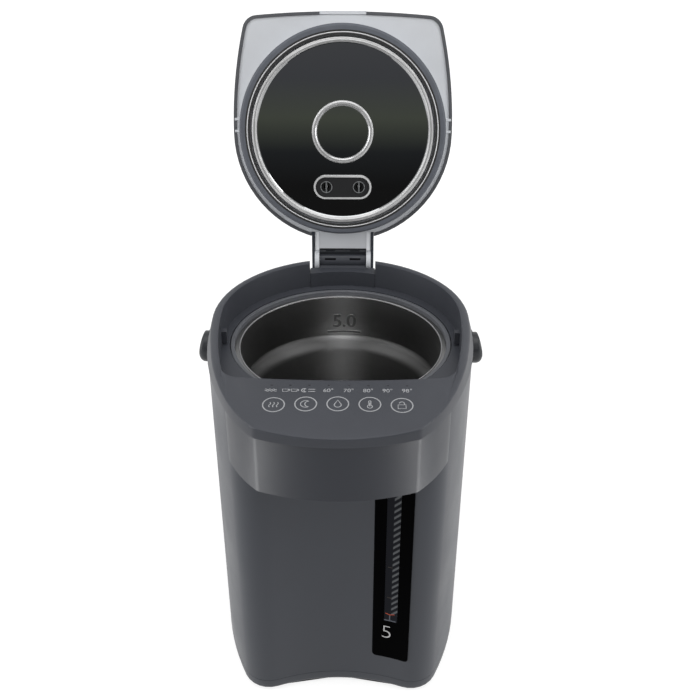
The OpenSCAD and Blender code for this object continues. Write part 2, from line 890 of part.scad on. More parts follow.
module hinge_bracket() {
    y = hinge_y;
    z = hinge_z;
    difference() {
        union() {
            slab_x([[y - 23.7, z - 19], [y - 10.2, z - 19], [y - 10.2, z - 4], [y - 23.7, z - 4]],
                -saddle_w, saddle_w);
            slab_x([[y - 14.7, z - 19], [y - 5.4, z - 19], [y - 2.6, z - 9.7], [y, z],
                [y - 12.4, z - 6.4], [y - 14.7, z - 6.4]], -barrel_w, barrel_w);
            rod_x(y, z, barrel_r, -barrel_w, barrel_w);
        }
        rod_x(y, z, pin_r + 0.02, -40, 40);
        both_sides() {
            rod_x(y, z, barrel_r + 0.1, 4.3, 11.7);
            rod_z(bolt_x, bolt_y, screw_r + fit, z - 20, z - 8);
        }
        // the front follows the well's round wall
        rod_z(0, well_plan[1], well_plan[0] + 0.1, z - 20, z);
    }
}

module hinge_pin() {
    rod_x(hinge_y, hinge_z, pin_r, 0.2 - cheek_out, cheek_out - 0.2);
}

module hinge_springs() {
    both_sides()
        translate([5.6, hinge_y, hinge_z])
            coil(5.1, 0.7, 3, 1.6);
}

module hinge_screws() {
    z = deck_z - 27;
    both_sides() {
        rod_z(bolt_x, bolt_y, screw_r, z - 2, z + 10);
        rod_z(bolt_x, bolt_y, 3, z - 2.2, z);
    }
}

// turns a piece of the closed lid to the open position
module lid_pose() {
    translate([0, hinge_y, hinge_z])
        rotate([-lid_open, 0, 0])
            translate([0, -hinge_y, -hinge_z])
                children();
}

// ---- lid, drawn closed ---------------------------------------------------------------------

lid_plan = [well_plan[0] - lid_gap, well_plan[1], well_plan[2] - lid_gap, well_plan[3] - lid_gap,
    well_plan[4] - lid_gap, well_plan[5] + lid_gap];
lid_y = well_y + lid_gap;
lip_w = 2.8;
latch_w = 21.4;

module lid_cover() {
    p = lid_plan;
    ceiling = lip_z + 6.6;
    lid_pose()
        difference() {
            stack_loft([
                small_ring(p, 0.78, ceiling + 2.6), small_ring(p, 0.82, ceiling),
                flat_ring(p, -lip_w, ceiling), flat_ring(p, -lip_w, lip_z),
                flat_ring(p, 0, lip_z), flat_ring(p, 0, lip_z + 5.4),
                flat_ring(p, -0.5, lip_z + 6.9), flat_ring(p, -1.6, lip_z + 8),
                flat_ring(p, -3.2, lip_z + 8.7), small_ring(p, 0.95, lip_z + 9.4),
                small_ring(p, 0.85, lip_z + 10.6), small_ring(p, 0.65, lip_z + 11.9),
                small_ring(p, 0.4, lip_z + 12.7), small_ring(p, 0.15, crown_z)]);
            // tongue and thumb piece of the latch
            box(-latch_w - 0.3, latch_w + 0.3, lid_y - 2, lid_y + 6.2, lip_z - 1, lip_z + 4.9);
            box(-9.3, 9.3, lid_y + 8.8, lid_y + 24.6, lip_z + 5, crown_z + 1);
            // hinge neck
            box(-neck_w - 0.2, neck_w + 0.2, hinge_y - 28.7, hinge_y - 14.7, lip_z - 1, crown_z + 1);
            // snap tabs of the liner
            both_sides()
                for (y = [-10, 1])
                    box(body_r - 17, body_r - 12.6, y - 1.5, y + 1.5, lip_z - 1, lip_z + 2.9);
            // steam vents
            for (i = [-3 : 3])
                box(4 * i - 0.9, 4 * i + 0.9, steam_y - 5.5, steam_y + 5.5, lip_z + 7, crown_z + 1);
        }
}

module hinge_cover() {
    c = [hinge_y, hinge_z];
    y0 = hinge_y - 28.5;
    skin = concat([[y0, crown_z - 2.4], [y0 + 6, crown_z - 0.8]], arc_yz(c, 12, 90, 0, 10),
        arc_yz(c, 9.5, 0, 90, 10),
        [[y0 + 13.8, crown_z - 2.5], [y0 + 6, crown_z - 3.2], [y0, crown_z - 4.8]]);
    cheek = concat([[y0, lip_z], [hinge_y, lip_z], [hinge_y + 12, hinge_z]], arc_yz(c, 12, 0, 90, 10),
        [[y0 + 6, crown_z - 0.8], [y0, crown_z - 2.4]]);
    lid_pose() {
        slab_x(skin, -cheek_out - 1, cheek_out + 1);
        both_sides()
            slab_x(cheek, cheek_out + 0.1, neck_w);
    }
}

module hinge_catch() {
    c = [hinge_y, hinge_z];
    lid_pose()
        difference() {
            union() {
                slab_x(concat(arc_yz(c, 7, 150, 205, 8), arc_yz(c, 10.6, 205, 150, 8)),
                    -barrel_w, barrel_w);
                slab_x([[hinge_y - 15, hinge_z + 2.6], [hinge_y - 8.6, hinge_z + 2.6],
                    [hinge_y - 7.4, hinge_z + 5.2], [hinge_y - 15, hinge_z + 5.2]],
                    -barrel_w, barrel_w);
            }
            both_sides()
                translate([7.3, hinge_y, hinge_z])
                    rotate([196, 0, 0])
                        box(0, 9.4, 5, 12, -1, 1);
            for (a = [168, 181])
                translate([0, hinge_y, hinge_z])
                    rotate([a, 0, 0])
                        box(-30, 30, 9.9, 12, -0.6, 0.6);
        }
}

module lid_liner() {
    c = [hinge_y, hinge_z];
    z = lip_z + 1;
    y0 = hinge_y - 28.6;
    lid_pose() {
        difference() {
            union() {
                translate([0, 0, z])
                    linear_extrude(2.3)
                        polygon(moved(lid_plan, -lip_w - 0.15));
                rod_z(0, 0, cap_r - 0.3, lip_z - 11.5, z + 1);
                // snap tabs that pass through the lip
                both_sides()
                    for (y = [-10, 1])
                        box(body_r - 18, body_r - 13, y - 1.2, y + 1.2, lip_z + 0.2, lip_z + 2.6);
                // neck: two cheeks round the pin and a web between them
                both_sides() {
                    slab_x([[y0, z], [hinge_y, z], [hinge_y, z + 6.5], [y0, z + 6.5]],
                        cheek_in, cheek_out);
                    rod_x(hinge_y, hinge_z, 9.2, cheek_in, cheek_out);
                }
                box(-cheek_in - 0.1, cheek_in + 0.1, y0, hinge_y - 11.7, z, z + 2.5);
            }
            rod_z(0, 0, cap_r - 3.5, lip_z - 9, z + 10);
            stadium(48.2, 17.2, steam_y, lip_z - 20, lip_z);
            // room for the cheeks of the hinge cover
            both_sides()
                box(cheek_out, neck_w + 0.3, y0, hinge_y - 14, z - 1, z + 3);
            rod_x(hinge_y, hinge_z, pin_r + fit, -40, 40);
        }
    }
}

module lid_insulation() {
    lid_pose()
        difference() {
            rod_z(0, 0, cap_r - 3.7, lip_z - 8.9, lip_z + 3);
            stadium(48.4, 17.4, steam_y, lip_z - 20, lip_z + 10);
        }
}

module lid_gasket() {
    z = lip_z - 11.5;
    lid_pose()
        rotate_extrude()
            polygon([[cap_r - 9.1, z], [cap_r - 9.1, z - 3.5], [cap_r - 7.9, z - 5.1],
                [cap_r - 5.5, z - 5.3], [cap_r - 1.9, z - 4.9], [cap_r, z - 3], [cap_r, z]]);
}

module lid_plate() {
    z = lip_z - 13;
    t = 0.8;
    r = cap_r - 10.9;
    lid_pose()
        difference() {
            union() {
                rotate_extrude()
                    polygon([[0, z - 0.4], [24.6, z - 0.4], [25.6, z - 1.8], [27.6, z - 1.8],
                        [28.6, z], [r - 6, z], [r - 4.6, z - 3], [r - 3.6, z - 3.6],
                        [r - 2.2, z - 3.6], [r - 0.8, z - 3], [r, z - 2], [r, z + 1.5],
                        [r - 0.8, z + 1.5], [r - 0.8, z - 1.6], [r - 1.4, z - 2.4],
                        [r - 2.4, z - 2.8], [r - 3.4, z - 2.8], [r - 4, z - 2.4], [r - 5.4, z + t],
                        [28.1, z + t], [27.1, z - 1], [26.1, z - 1], [25.1, z + 0.4], [0, z + 0.4]]);
                stadium(55, 22.6, steam_y, z - 1.6, z + t);
            }
            stadium(51, 18.6, steam_y, z - 5, z + 5);
        }
}

module steam_valve() {
    z = lip_z - 14.2;
    lid_pose()
        difference() {
            union() {
                stadium(48, 17, steam_y, z + 0.6, lip_z + 3);
                stadium(50.6, 18.2, steam_y, z + 0.6, z + 2.6);
            }
            both_sides() {
                difference() {
                    rod_z(steam_x, steam_y, 5.2, z - 1, z + 3.6);
                    box(steam_x - 0.6, steam_x + 0.6, steam_y - 9, steam_y + 9, z - 2, z + 4);
                }
                rod_z(steam_x, steam_y, 2.6, z + 3.6 - eps, z + 6);
                rod_z(steam_x, steam_y, 4.8, z + 5.4, z + 15.6);
                rod_z(steam_x, steam_y, 2.6, z + 15, lip_z + 4);
            }
        }
}

module steam_balls() {
    z = lip_z - 14.2;
    lid_pose()
        both_sides()
            translate([steam_x, steam_y, z + 10])
                sphere(r = 4.2);
}

module steam_duct() {
    lid_pose()
        difference() {
            stadium(48, 17, steam_y, lip_z + 3, lip_z + 9);
            stadium(45, 14, steam_y, lip_z + 4, lip_z + 10);
            both_sides()
                rod_z(steam_x, steam_y, 2.6, lip_z + 2, lip_z + 5);
        }
}

module lid_latch() {
    z = lip_z + 3.5;
    lid_pose() {
        box(-latch_w, latch_w, lid_y - 0.3, lid_y + 2.8, lip_z + 0.2, z + 1.1);
        box(-latch_w, latch_w, lid_y + 2.7, lid_y + 7, z, z + 1.1);
        box(-latch_w, latch_w, lid_y + 6.5, lid_y + 34, z, z + 2.1);
        box(-9, 9, lid_y + 12.2, lid_y + 24.2, z + 2, crown_z - 2.3);
    }
}

// ---- nodes ---------------------------------------------------------------------------------

color("#3a3b3f") base_cover();
color("#222222") base_feet();
color("#a8a8a8") base_screws();
color("#4a4b50") body_shell();
color("#3f4044") beak_housing();
color("#55565b") control_deck();
color("#50525a") pot_collar();
color("#8d8f92") inner_pot();
color("#9a9a9a") pot_outlet();
color("#b0b0b0") heater_plate();
color("#b8a070") warm_band();
color("#303030") thermostats();
color("#c0c0c0") temp_sensor();
color("#d8d8d0") thermal_fuse();
color("#a0a0a4") heat_shield();
color("#7a7a7a") pot_support();
color("#d0d0cc") pump_housing();
color("#c8c8c4") pump_cover();
color("#303034") pump_impeller();
color("#b0b0b0") pump_shaft();
color("#404040") drive_magnet();
color("#9c9c9c") pump_motor();
color("#38383c") pump_bracket();
color("#e0dcd0") suction_hose();
color("#e0dcd0") delivery_hose();
color("#e0dcd0") tube_cap();
color("#c8d8dc") level_tube();
color("#d0d0cc") spill_valve();
color("#c0c0c0") spill_ball();
color("#d0d0cc") spout_duct();
color("#303034") spout_nozzle();
color("#101012") gauge_panel();
color("#90a0a8") gauge_lens();
color("#2c5a3c") touch_board();
color("#303034") touch_pads();
color("#2c5a3c") power_board();
color("#1c1c1e") mains_inlet();
color("#2c2d30") handle_seats();
color("#3a3b3f") handle();
color("#a8a8a8") handle_pins();
color("#3a3b3f") hinge_bracket();
color("#b8b8b8") hinge_pin();
color("#a0a0a0") hinge_springs();
color("#a8a8a8") hinge_screws();
color("#4a4b50") lid_cover();
color("#4a4b50") hinge_cover();
color("#303136") hinge_catch();
color("#c6c7cc") lid_liner();
color("#e4e2d8") lid_insulation();
color("#70747e") lid_gasket();
color("#8d8f92") lid_plate();
color("#303136") steam_valve();
color("#c0c0c0") steam_balls();
color("#303136") steam_duct();
color("#c6c7cc") lid_latch();
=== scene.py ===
# %% [markdown]
# # An electric thermo pot
# A dark grey hot-water dispenser stands with its lid open. Its solid parts come from the CAD model, so
# nearly every surface is already in its place. This lesson gives them edges that catch the light, dresses
# them in moulded plastic, silicone, glass and steel, adds printed marks and thin trim, and lights the scene.

# %% Load the frame
import json
import math

import bmesh
import bpy
from mathutils import Matrix, Vector


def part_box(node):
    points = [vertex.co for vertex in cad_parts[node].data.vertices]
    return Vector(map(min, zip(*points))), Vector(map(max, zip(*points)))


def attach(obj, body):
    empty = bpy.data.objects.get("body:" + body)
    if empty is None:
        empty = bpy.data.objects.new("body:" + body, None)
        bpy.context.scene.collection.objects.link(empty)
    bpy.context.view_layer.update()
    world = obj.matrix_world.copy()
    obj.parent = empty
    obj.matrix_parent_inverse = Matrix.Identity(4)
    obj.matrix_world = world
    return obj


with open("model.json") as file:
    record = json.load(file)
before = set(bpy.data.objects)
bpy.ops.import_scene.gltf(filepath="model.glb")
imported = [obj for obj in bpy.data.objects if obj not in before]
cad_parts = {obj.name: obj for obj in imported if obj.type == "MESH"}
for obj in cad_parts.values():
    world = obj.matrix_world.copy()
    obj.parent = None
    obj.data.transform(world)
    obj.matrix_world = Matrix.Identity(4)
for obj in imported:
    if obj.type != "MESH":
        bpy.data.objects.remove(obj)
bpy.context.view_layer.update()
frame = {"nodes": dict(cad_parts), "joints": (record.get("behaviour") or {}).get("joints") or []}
nodes = frame["nodes"]
MM = 0.001

# %% [markdown]
# ## Camera
# The pot is seen from the front and about thirty degrees from above, with a normal lens, so that the deck,
# the open mouth and the lid's underside all show. A constraint could aim the camera. Three plain rotations
# do it here, because each can be read on its own: heading, tilt, and a very small roll about its own axis.

# %% Camera
CAMERA_PLACE = (0.01287, -0.7137, 0.7211)
HEADING = math.radians(0.374)
TILT = math.radians(90 - 30.46)
ROLL = math.radians(0.124)

camera_data = bpy.data.cameras.new("studio_camera")
camera_data.sensor_width = 36.0
camera_data.lens = 47.57
camera = bpy.data.objects.new("studio_camera", camera_data)
bpy.context.scene.collection.objects.link(camera)
turn = Matrix.Rotation(HEADING, 4, "Z") @ Matrix.Rotation(TILT, 4, "X") @ Matrix.Rotation(ROLL, 4, "Z")
camera.matrix_world = Matrix.Translation(CAMERA_PLACE) @ turn
bpy.context.scene.camera = camera
bpy.context.scene.view_settings.view_transform = "Standard"
print("camera at", tuple(round(v, 4) for v in camera.location))

# %% [markdown]
# ## Node helpers
# Each finish on the pot is a small tree of nodes behind one Principled shader. Such a tree can be drawn by
# hand in the editor. A script repeats the same few steps for each, so three helpers take one line apiece:
# one starts a finish, one fills the inputs of a node, and one adds a node with its inputs filled.

# %% Node helpers
def new_finish(name):
    material = bpy.data.materials.new(name)
    material.use_nodes = True
    tree = material.node_tree
    return material, tree, tree.nodes["Principled BSDF"]


def put(node, **inputs):
    """Fills inputs by name, with _ for a space: a socket is linked, and anything else is set as the value."""
    for key, value in inputs.items():
        socket = node.inputs[key.replace("_", " ")]
        if isinstance(value, bpy.types.NodeSocket):
            node.id_data.links.new(value, socket)
        else:
            socket.default_value = value


def add_node(tree, kind, settings=None, **inputs):
    node = tree.nodes.new(kind)
    for key, value in (settings or {}).items():
        setattr(node, key, value)
    put(node, **inputs)
    return node

# %% [markdown]
# ## Patterns
# No real finish is perfectly even. An image could show that, but it would need every piece unwrapped.
# Noise on the piece's own Object coordinates needs nothing and stays on the piece when it moves. A ramp
# turns the noise into levels or colours, and Math nodes do the sums in between.

# %% Coordinates and noise
def object_space(tree, scale=(1, 1, 1), rotation=(0, 0, 0), location=(0, 0, 0)):
    coordinates = tree.nodes.new("ShaderNodeTexCoord").outputs["Object"]
    mapping = add_node(tree, "ShaderNodeMapping", Vector=coordinates, Scale=scale, Rotation=rotation,
                       Location=location)
    return mapping.outputs["Vector"]


def axes_of(tree, place):
    return add_node(tree, "ShaderNodeSeparateXYZ", Vector=place).outputs


def noise(tree, place, scale, detail, roughness=0.5):
    texture = add_node(tree, "ShaderNodeTexNoise", Vector=place, Scale=scale, Detail=detail,
                       Roughness=roughness)
    return texture.outputs["Fac"]

# %% Ramps, sums and relief
def ramp(tree, fac, stops, interpolation="LINEAR"):
    """Turns a number into a level or a colour. Each stop is a position with a level or a colour."""
    node = tree.nodes.new("ShaderNodeValToRGB")
    node.color_ramp.interpolation = interpolation
    while len(node.color_ramp.elements) < len(stops):
        node.color_ramp.elements.new(0.5)
    for element, (position, value) in zip(node.color_ramp.elements, stops):
        colour = (value,) * 3 if isinstance(value, (int, float)) else value
        element.position = position
        element.color = (*colour, 1)
    tree.links.new(fac, node.inputs["Fac"])
    return node.outputs["Color"]


def calculate(tree, operation, first, second=None):
    node = add_node(tree, "ShaderNodeMath", {"operation": operation})
    for socket, value in zip(node.inputs, (first, second)):
        if isinstance(value, (int, float)):
            socket.default_value = value
        elif value is not None:
            tree.links.new(value, socket)
    return node.outputs[0]


def mix(tree, factor, first, second):
    node = add_node(tree, "ShaderNodeMix", {"data_type": "RGBA"}, Factor=factor, A=first, B=second)
    return node.outputs["Result"]


def relief(tree, shader, height, strength, depth):
    """Turns the light over texture that is too fine to model."""
    bump = add_node(tree, "ShaderNodeBump", Height=height, Strength=strength, Distance=depth)
    put(shader, Normal=bump.outputs["Normal"])


def shade(colour, factor):
    return tuple(min(1.0, channel * factor) for channel in colour)

# %% [markdown]
# ## Moulded plastic
# Body, beak, deck and lid are matt mouldings. A very fine spark texture spreads their highlights, the gloss
# changes in broad and faint areas, and the colour hardly changes at all. One noise could only be coarse or
# fine. So there are two: the fine one feeds the relief, the broad one the roughness and a touch of the
# colour.

# %% Moulded plastic
SPARK_SCALE = 2600.0
SPARK_DEPTH = 0.4 * MM
WEAR_SCALE = 14.0


def moulded_plastic(name, colour, roughness, grain=0.06, spread=0.05, gloss=0.35):
    material, tree, shader = new_finish(name)
    place = object_space(tree)
    sparks = noise(tree, place, SPARK_SCALE, detail=2.0, roughness=0.6)
    relief(tree, shader, sparks, strength=grain, depth=SPARK_DEPTH)
    wear = noise(tree, place, WEAR_SCALE, detail=4.0, roughness=0.55)
    put(shader, Specular_IOR_Level=gloss,
        Roughness=ramp(tree, wear, [(0.3, roughness - spread), (0.7, roughness + spread)]),
        Base_Color=ramp(tree, wear, [(0.35, shade(colour, 0.96)), (0.65, shade(colour, 1.05))]))
    return material


BODY_GREY = moulded_plastic("body_grey", (0.037, 0.041, 0.051), 0.40)
BEAK_GREY = moulded_plastic("beak_grey", (0.008, 0.010, 0.016), 0.40, gloss=0.38)
# The lid's grey is the body's plastic made lighter, painted light for the lid's front edge that faces away
# from the lamps. On the hinge barrel's ridge it paints a highlight line.
LID_GREY_PAINTED_LIGHT = moulded_plastic("lid_grey_painted_light", (0.085, 0.088, 0.096), 0.42)
DECK_GREY = moulded_plastic("deck_grey", (0.043, 0.046, 0.055), 0.46, gloss=0.28)
SHADE_GREY = moulded_plastic("shade_grey", (0.022, 0.024, 0.028), 0.40)
LINER_WHITE = moulded_plastic("liner_white", (0.55, 0.565, 0.59), 0.5, grain=0.03)
# A lighter copy of the liner's white, painted light for the lit cheeks of the lid's neck.
RAIL_PAINTED_LIGHT = moulded_plastic("rail_painted_light", (0.76, 0.775, 0.80), 0.5, grain=0.03)
# Near-black for painted shade in the hinge barrel's slots.
SLOT_PAINTED_SHADE = moulded_plastic("slot_painted_shade", (0.003, 0.003, 0.004), 0.6, gloss=0.05)
BLACK_PLASTIC = moulded_plastic("black_plastic", (0.010, 0.010, 0.011), 0.5)
NATURAL_PLASTIC = moulded_plastic("natural_plastic", (0.66, 0.65, 0.60), 0.4)
BOARD_GREEN = moulded_plastic("board_green", (0.02, 0.10, 0.05), 0.35)
PANEL_BLACK = moulded_plastic("panel_black", (0.0010, 0.0010, 0.0012), 0.15, grain=0.01, spread=0.03,
                              gloss=0.006)
print("plastics made:", len(bpy.data.materials))

# %% [markdown]
# ## Silicone and rubber
# The lid's gasket, the pot's collar, the hoses and the feet are soft mouldings. They are rougher and dustier
# in the light than plastic, with a weak sheen at glancing angles. A full velvet sheen would look like cloth,
# so only a twentieth of it is added to the same pair of a broad and a fine noise.

# %% Silicone and rubber
DUST_SCALE = 60.0
PORE_SCALE = 3200.0
PORE_DEPTH = 0.3 * MM


def soft_rubber(name, colour, roughness, gloss=0.5):
    material, tree, shader = new_finish(name)
    place = object_space(tree)
    pores = noise(tree, place, PORE_SCALE, detail=1.0)
    relief(tree, shader, pores, strength=0.05, depth=PORE_DEPTH)
    dust = noise(tree, place, DUST_SCALE, detail=6.0, roughness=0.7)
    put(shader, Specular_IOR_Level=gloss, Sheen_Weight=0.05, Sheen_Roughness=0.4,
        Roughness=ramp(tree, dust, [(0.3, roughness - 0.06), (0.7, roughness + 0.08)]),
        Base_Color=ramp(tree, dust, [(0.3, shade(colour, 0.9)), (0.75, shade(colour, 1.12))]))
    return material


GASKET_BLUE = soft_rubber("gasket_silicone", (0.100, 0.107, 0.124), 0.52, gloss=0.15)
COLLAR_GREY = soft_rubber("collar_silicone", (0.106, 0.110, 0.121), 0.46, gloss=0.2)
FOOT_RUBBER = soft_rubber("foot_rubber", (0.012, 0.012, 0.012), 0.7)
HOSE_SILICONE = soft_rubber("hose_silicone", (0.68, 0.66, 0.60), 0.45)
print("soft finishes: gasket, collar, feet and hoses")

# %% [markdown]
# ## Drawn steel
# Screws, pins, bands and brackets are drawn or turned, and keep fine lines from the tool. Modelled lines
# would take millions of faces. A noise squeezed along the height gives the lines instead, to the roughness,
# the colour and a weak relief.

# %% Drawn steel
TOOL_LINES = (40, 40, 2600)
LINE_DEPTH = 0.2 * MM


def drawn_steel(name, colour, roughness):
    material, tree, shader = new_finish(name)
    lines = noise(tree, object_space(tree, scale=TOOL_LINES), 1.0, detail=3.0, roughness=0.6)
    relief(tree, shader, lines, strength=0.03, depth=LINE_DEPTH)
    put(shader, Metallic=1.0,
        Roughness=ramp(tree, lines, [(0.3, roughness * 0.85), (0.7, roughness * 1.2)]),
        Base_Color=ramp(tree, lines, [(0.3, shade(colour, 0.93)), (0.7, shade(colour, 1.06))]))
    return material


RIM_STEEL = drawn_steel("rim_steel", (0.75, 0.75, 0.76), 0.16)
ZINC_STEEL = drawn_steel("zinc_steel", (0.50, 0.51, 0.53), 0.38)
DARK_STEEL = drawn_steel("dark_steel", (0.05, 0.05, 0.055), 0.45)
CAST_ALLOY = drawn_steel("cast_alloy", (0.62, 0.62, 0.62), 0.5)
print("drawn finishes: bright, zinc, dark and cast")

# %% [markdown]
# ## Satin steel
# Rolled hems, the seats of the steam holes and the pressed fill mark are narrow, and stay light from every
# side. Pure metal would flicker there between the dark room and the lamps. A mix of metal and plain colour is
# calmer: the plain colour is a painted reflection that keeps them light from every side. So each of these
# finishes has its own metallic level.

# %% Satin steel
def satin_steel(name, colour, metallic, roughness, lines=(60, 60, 1800)):
    material, tree, shader = new_finish(name)
    brushed = noise(tree, object_space(tree, scale=lines), 1.0, detail=3.0)
    put(shader, Metallic=metallic,
        Roughness=ramp(tree, brushed, [(0.3, roughness), (0.7, roughness + 0.08)]),
        Base_Color=ramp(tree, brushed, [(0.3, shade(colour, 0.92)), (0.7, colour)]))
    return material


HEM_STEEL = satin_steel("hem_steel", (0.60, 0.60, 0.61), 0.25, 0.42, lines=(30, 30, 30))
RIM_HEM_STEEL = satin_steel("rim_hem_steel", (0.33, 0.33, 0.335), 0.35, 0.34)
VALVE_STEEL = satin_steel("valve_seat_steel", (0.16, 0.165, 0.17), 0.3, 0.3)
MARK_STEEL = satin_steel("mark_steel", (0.36, 0.36, 0.36), 0.9, 0.26)
print("satin finishes: plate hem, rim hem, valve seat and fill mark")

# %% [markdown]
# ## A band with soft edges
# Two finishes paint highlights in a zone at a known place: on the pot's shoulder, and along the pressed lines
# of the lid's plate. A ramp could draw it, but its stops are shares of a whole. Two smooth steps, one rising
# and one falling, take plain millimetres, and their product is the band.

# %% A band with soft edges
def soft_band(tree, distance, inner, outer, soft=0.25):
    """1 where the distance lies between inner and outer, in millimetres, and 0 elsewhere."""
    steps = []
    for start, end in ((inner - soft, inner + soft), (outer + soft, outer - soft)):
        step = add_node(tree, "ShaderNodeMapRange", {"interpolation_type": "SMOOTHSTEP"}, Value=distance,
                        From_Min=start * MM, From_Max=end * MM)
        steps.append(step.outputs["Result"])
    return calculate(tree, "MULTIPLY", *steps)

# %% [markdown]
# ## Brushed steel of the pot
# The pot is brushed round its axis, which spreads what it mirrors into an upright fan of light on its back
# wall, and its shoulder is lighter too. An anisotropic shader does this by itself, but needs far more samples
# to come out clean. So both are painted into the colour. The fan is a painted reflection and the shoulder a
# painted highlight, and together they choose between a dark and a light base colour.

# %% Brushed steel of the pot
# Size and levels of the painted reflection fan, and the height of the painted shoulder highlight.
PAINTED_FAN_HALF_WIDTH = 70 * MM
PAINTED_FAN_LEVELS = [(0.0, 0.85), (0.18, 0.66), (0.42, 0.14), (1.0, 0.0)]
PAINTED_FAN_WOBBLE = 6 * MM
SHOULDER_HIGHLIGHT_LOW, SHOULDER_HIGHLIGHT_HIGH = 251.0, 262.0


def pot_steel():
    material, tree, shader = new_finish("pot_steel")
    axes = axes_of(tree, object_space(tree))
    brushed = noise(tree, object_space(tree, scale=TOOL_LINES), 1.0, detail=3.0, roughness=0.6)
    wobble = calculate(tree, "MULTIPLY", calculate(tree, "SUBTRACT", brushed, 0.5), PAINTED_FAN_WOBBLE)
    across = calculate(tree, "ABSOLUTE", calculate(tree, "ADD", axes["X"], wobble))
    fan = ramp(tree, calculate(tree, "DIVIDE", across, PAINTED_FAN_HALF_WIDTH), PAINTED_FAN_LEVELS, "B_SPLINE")
    shoulder = soft_band(tree, axes["Z"], SHOULDER_HIGHLIGHT_LOW, SHOULDER_HIGHLIGHT_HIGH, soft=5.0)
    # The painted reflection and the painted highlight together lift the base colour.
    lift = calculate(tree, "MAXIMUM", fan, calculate(tree, "MULTIPLY", shoulder, 0.55))
    relief(tree, shader, brushed, strength=0.3, depth=LINE_DEPTH)
    put(shader, Metallic=1.0, Base_Color=ramp(tree, lift, [(0.0, 0.21), (1.0, 0.94)]),
        Roughness=ramp(tree, brushed, [(0.3, 0.30), (0.7, 0.42)]))
    return material


POT_STEEL = pot_steel()
print("pot finish:", POT_STEEL.name)

# %% [markdown]
# ## Where the lid lies when it is closed
# The CAD model draws the lid open, but its rings are round about an upright axis only when it is closed. So
# its patterns and trim are laid out on the closed lid. One matrix, from the hinge's own data, swings them
# open.

# %% The lid's swing
lid_hinge = next(joint for joint in frame["joints"] if joint["name"] == "lid_hinge")
HINGE_POINT = Vector(lid_hinge["pos_m"])
LID_TURN = math.radians(lid_hinge["range_deg"][1])
TO_OPEN = (Matrix.Translation(HINGE_POINT) @ Matrix.Rotation(-LID_TURN, 4, "X")
           @ Matrix.Translation(-HINGE_POINT))


def closed_lid_axes(tree):
    """Coordinates in which the lid lies closed, with the middle of its plate on the Z axis."""
    back = Matrix.Rotation(LID_TURN, 3, "X")
    place = object_space(tree, rotation=(LID_TURN, 0, 0), location=HINGE_POINT - back @ HINGE_POINT)
    return axes_of(tree, place)


print("the lid opens by", round(math.degrees(LID_TURN), 1), "degrees")

# %% [markdown]
# ## Mirror steel of the lid's plate
# The plate is a mirror, on which pressed rings and the edge of the steam recess stand out as thin light
# lines. Their relief is too low to catch a lamp from every side. So the lines are painted highlights: a mask
# on the distance from the plate's middle, or from the recess, turns the mirror to a light satin along each
# line, and a faint smear dulls it.

# %% Painted highlights of the plate
STEAM_Y = 51.5
RECESS_HALF_STRAIGHT = 16.2
RECESS_HIGHLIGHT = (9.5, 11.3)
RING_HIGHLIGHTS = ((27.0, 28.8, 1.0), (80.2, 81.7, 1.0), (82.9, 84.7, 1.0),
              (24.0, 27.0, 0.6), (81.7, 82.9, 0.5), (84.9, 88.4, 0.12))


def length(tree, a, b):
    squares = calculate(tree, "ADD", calculate(tree, "MULTIPLY", a, a), calculate(tree, "MULTIPLY", b, b))
    return calculate(tree, "SQRT", squares)


def painted_plate_highlights(tree):
    """How much painted highlight there is, from 0 to 1. A ring has an inner and an outer radius, and a
    weight.
    """
    axes = closed_lid_axes(tree)
    sideways = calculate(tree, "SUBTRACT", calculate(tree, "ABSOLUTE", axes["X"]), RECESS_HALF_STRAIGHT * MM)
    lengthways = calculate(tree, "SUBTRACT", axes["Y"], STEAM_Y * MM)
    from_recess = length(tree, calculate(tree, "MAXIMUM", sideways, 0.0), lengthways)
    bright = soft_band(tree, from_recess, *RECESS_HIGHLIGHT)
    radius = length(tree, axes["X"], axes["Y"])
    for inner, outer, weight in RING_HIGHLIGHTS:
        line = calculate(tree, "MULTIPLY", soft_band(tree, radius, inner, outer), weight)
        bright = calculate(tree, "MAXIMUM", bright, line)
    return bright

# %% Mirror steel
MIRROR_TONE = (0.55, 0.555, 0.56, 1)


def mirror_plate():
    material, tree, shader = new_finish("mirror_plate")
    bright = painted_plate_highlights(tree)
    satin = ramp(tree, noise(tree, object_space(tree), 22.0, detail=2.0), [(0.35, 0.44), (0.65, 0.60)])
    smear = noise(tree, object_space(tree, scale=(1, 1, 0.4)), 24.0, detail=5.0)
    haze = ramp(tree, smear, [(0.35, 0.015), (0.75, 0.045)])
    # The light satin along the lines is the painted highlight.
    put(shader, Base_Color=mix(tree, bright, MIRROR_TONE, satin),
        Metallic=calculate(tree, "SUBTRACT", 1.0, calculate(tree, "MULTIPLY", bright, 0.85)),
        Roughness=calculate(tree, "ADD", haze, calculate(tree, "MULTIPLY", bright, 0.25)))
    return material


MIRROR_STEEL = mirror_plate()
print("plate finish:", MIRROR_STEEL.name, "with", len(RING_HIGHLIGHTS) + 1, "light lines")

# %% [markdown]
# ## Clear tube
# The level tube is a thin clear pipe. Glass could be left without any roughness, but then it looks new and
# wet. A thin uneven film on it breaks the reflections, and an index a little under that of glass bends less.

# %% Clear tube
def clear_tube():
    material, tree, shader = new_finish("tube_glass")
    film = noise(tree, object_space(tree), 90.0, detail=3.0)
    put(shader, Base_Color=(0.92, 0.95, 0.96, 1), Transmission_Weight=0.9, IOR=1.3,
        Roughness=ramp(tree, film, [(0.4, 0.03), (0.8, 0.08)]))
    return material


TUBE_GLASS = clear_tube()
print("tube finish:", TUBE_GLASS.name)

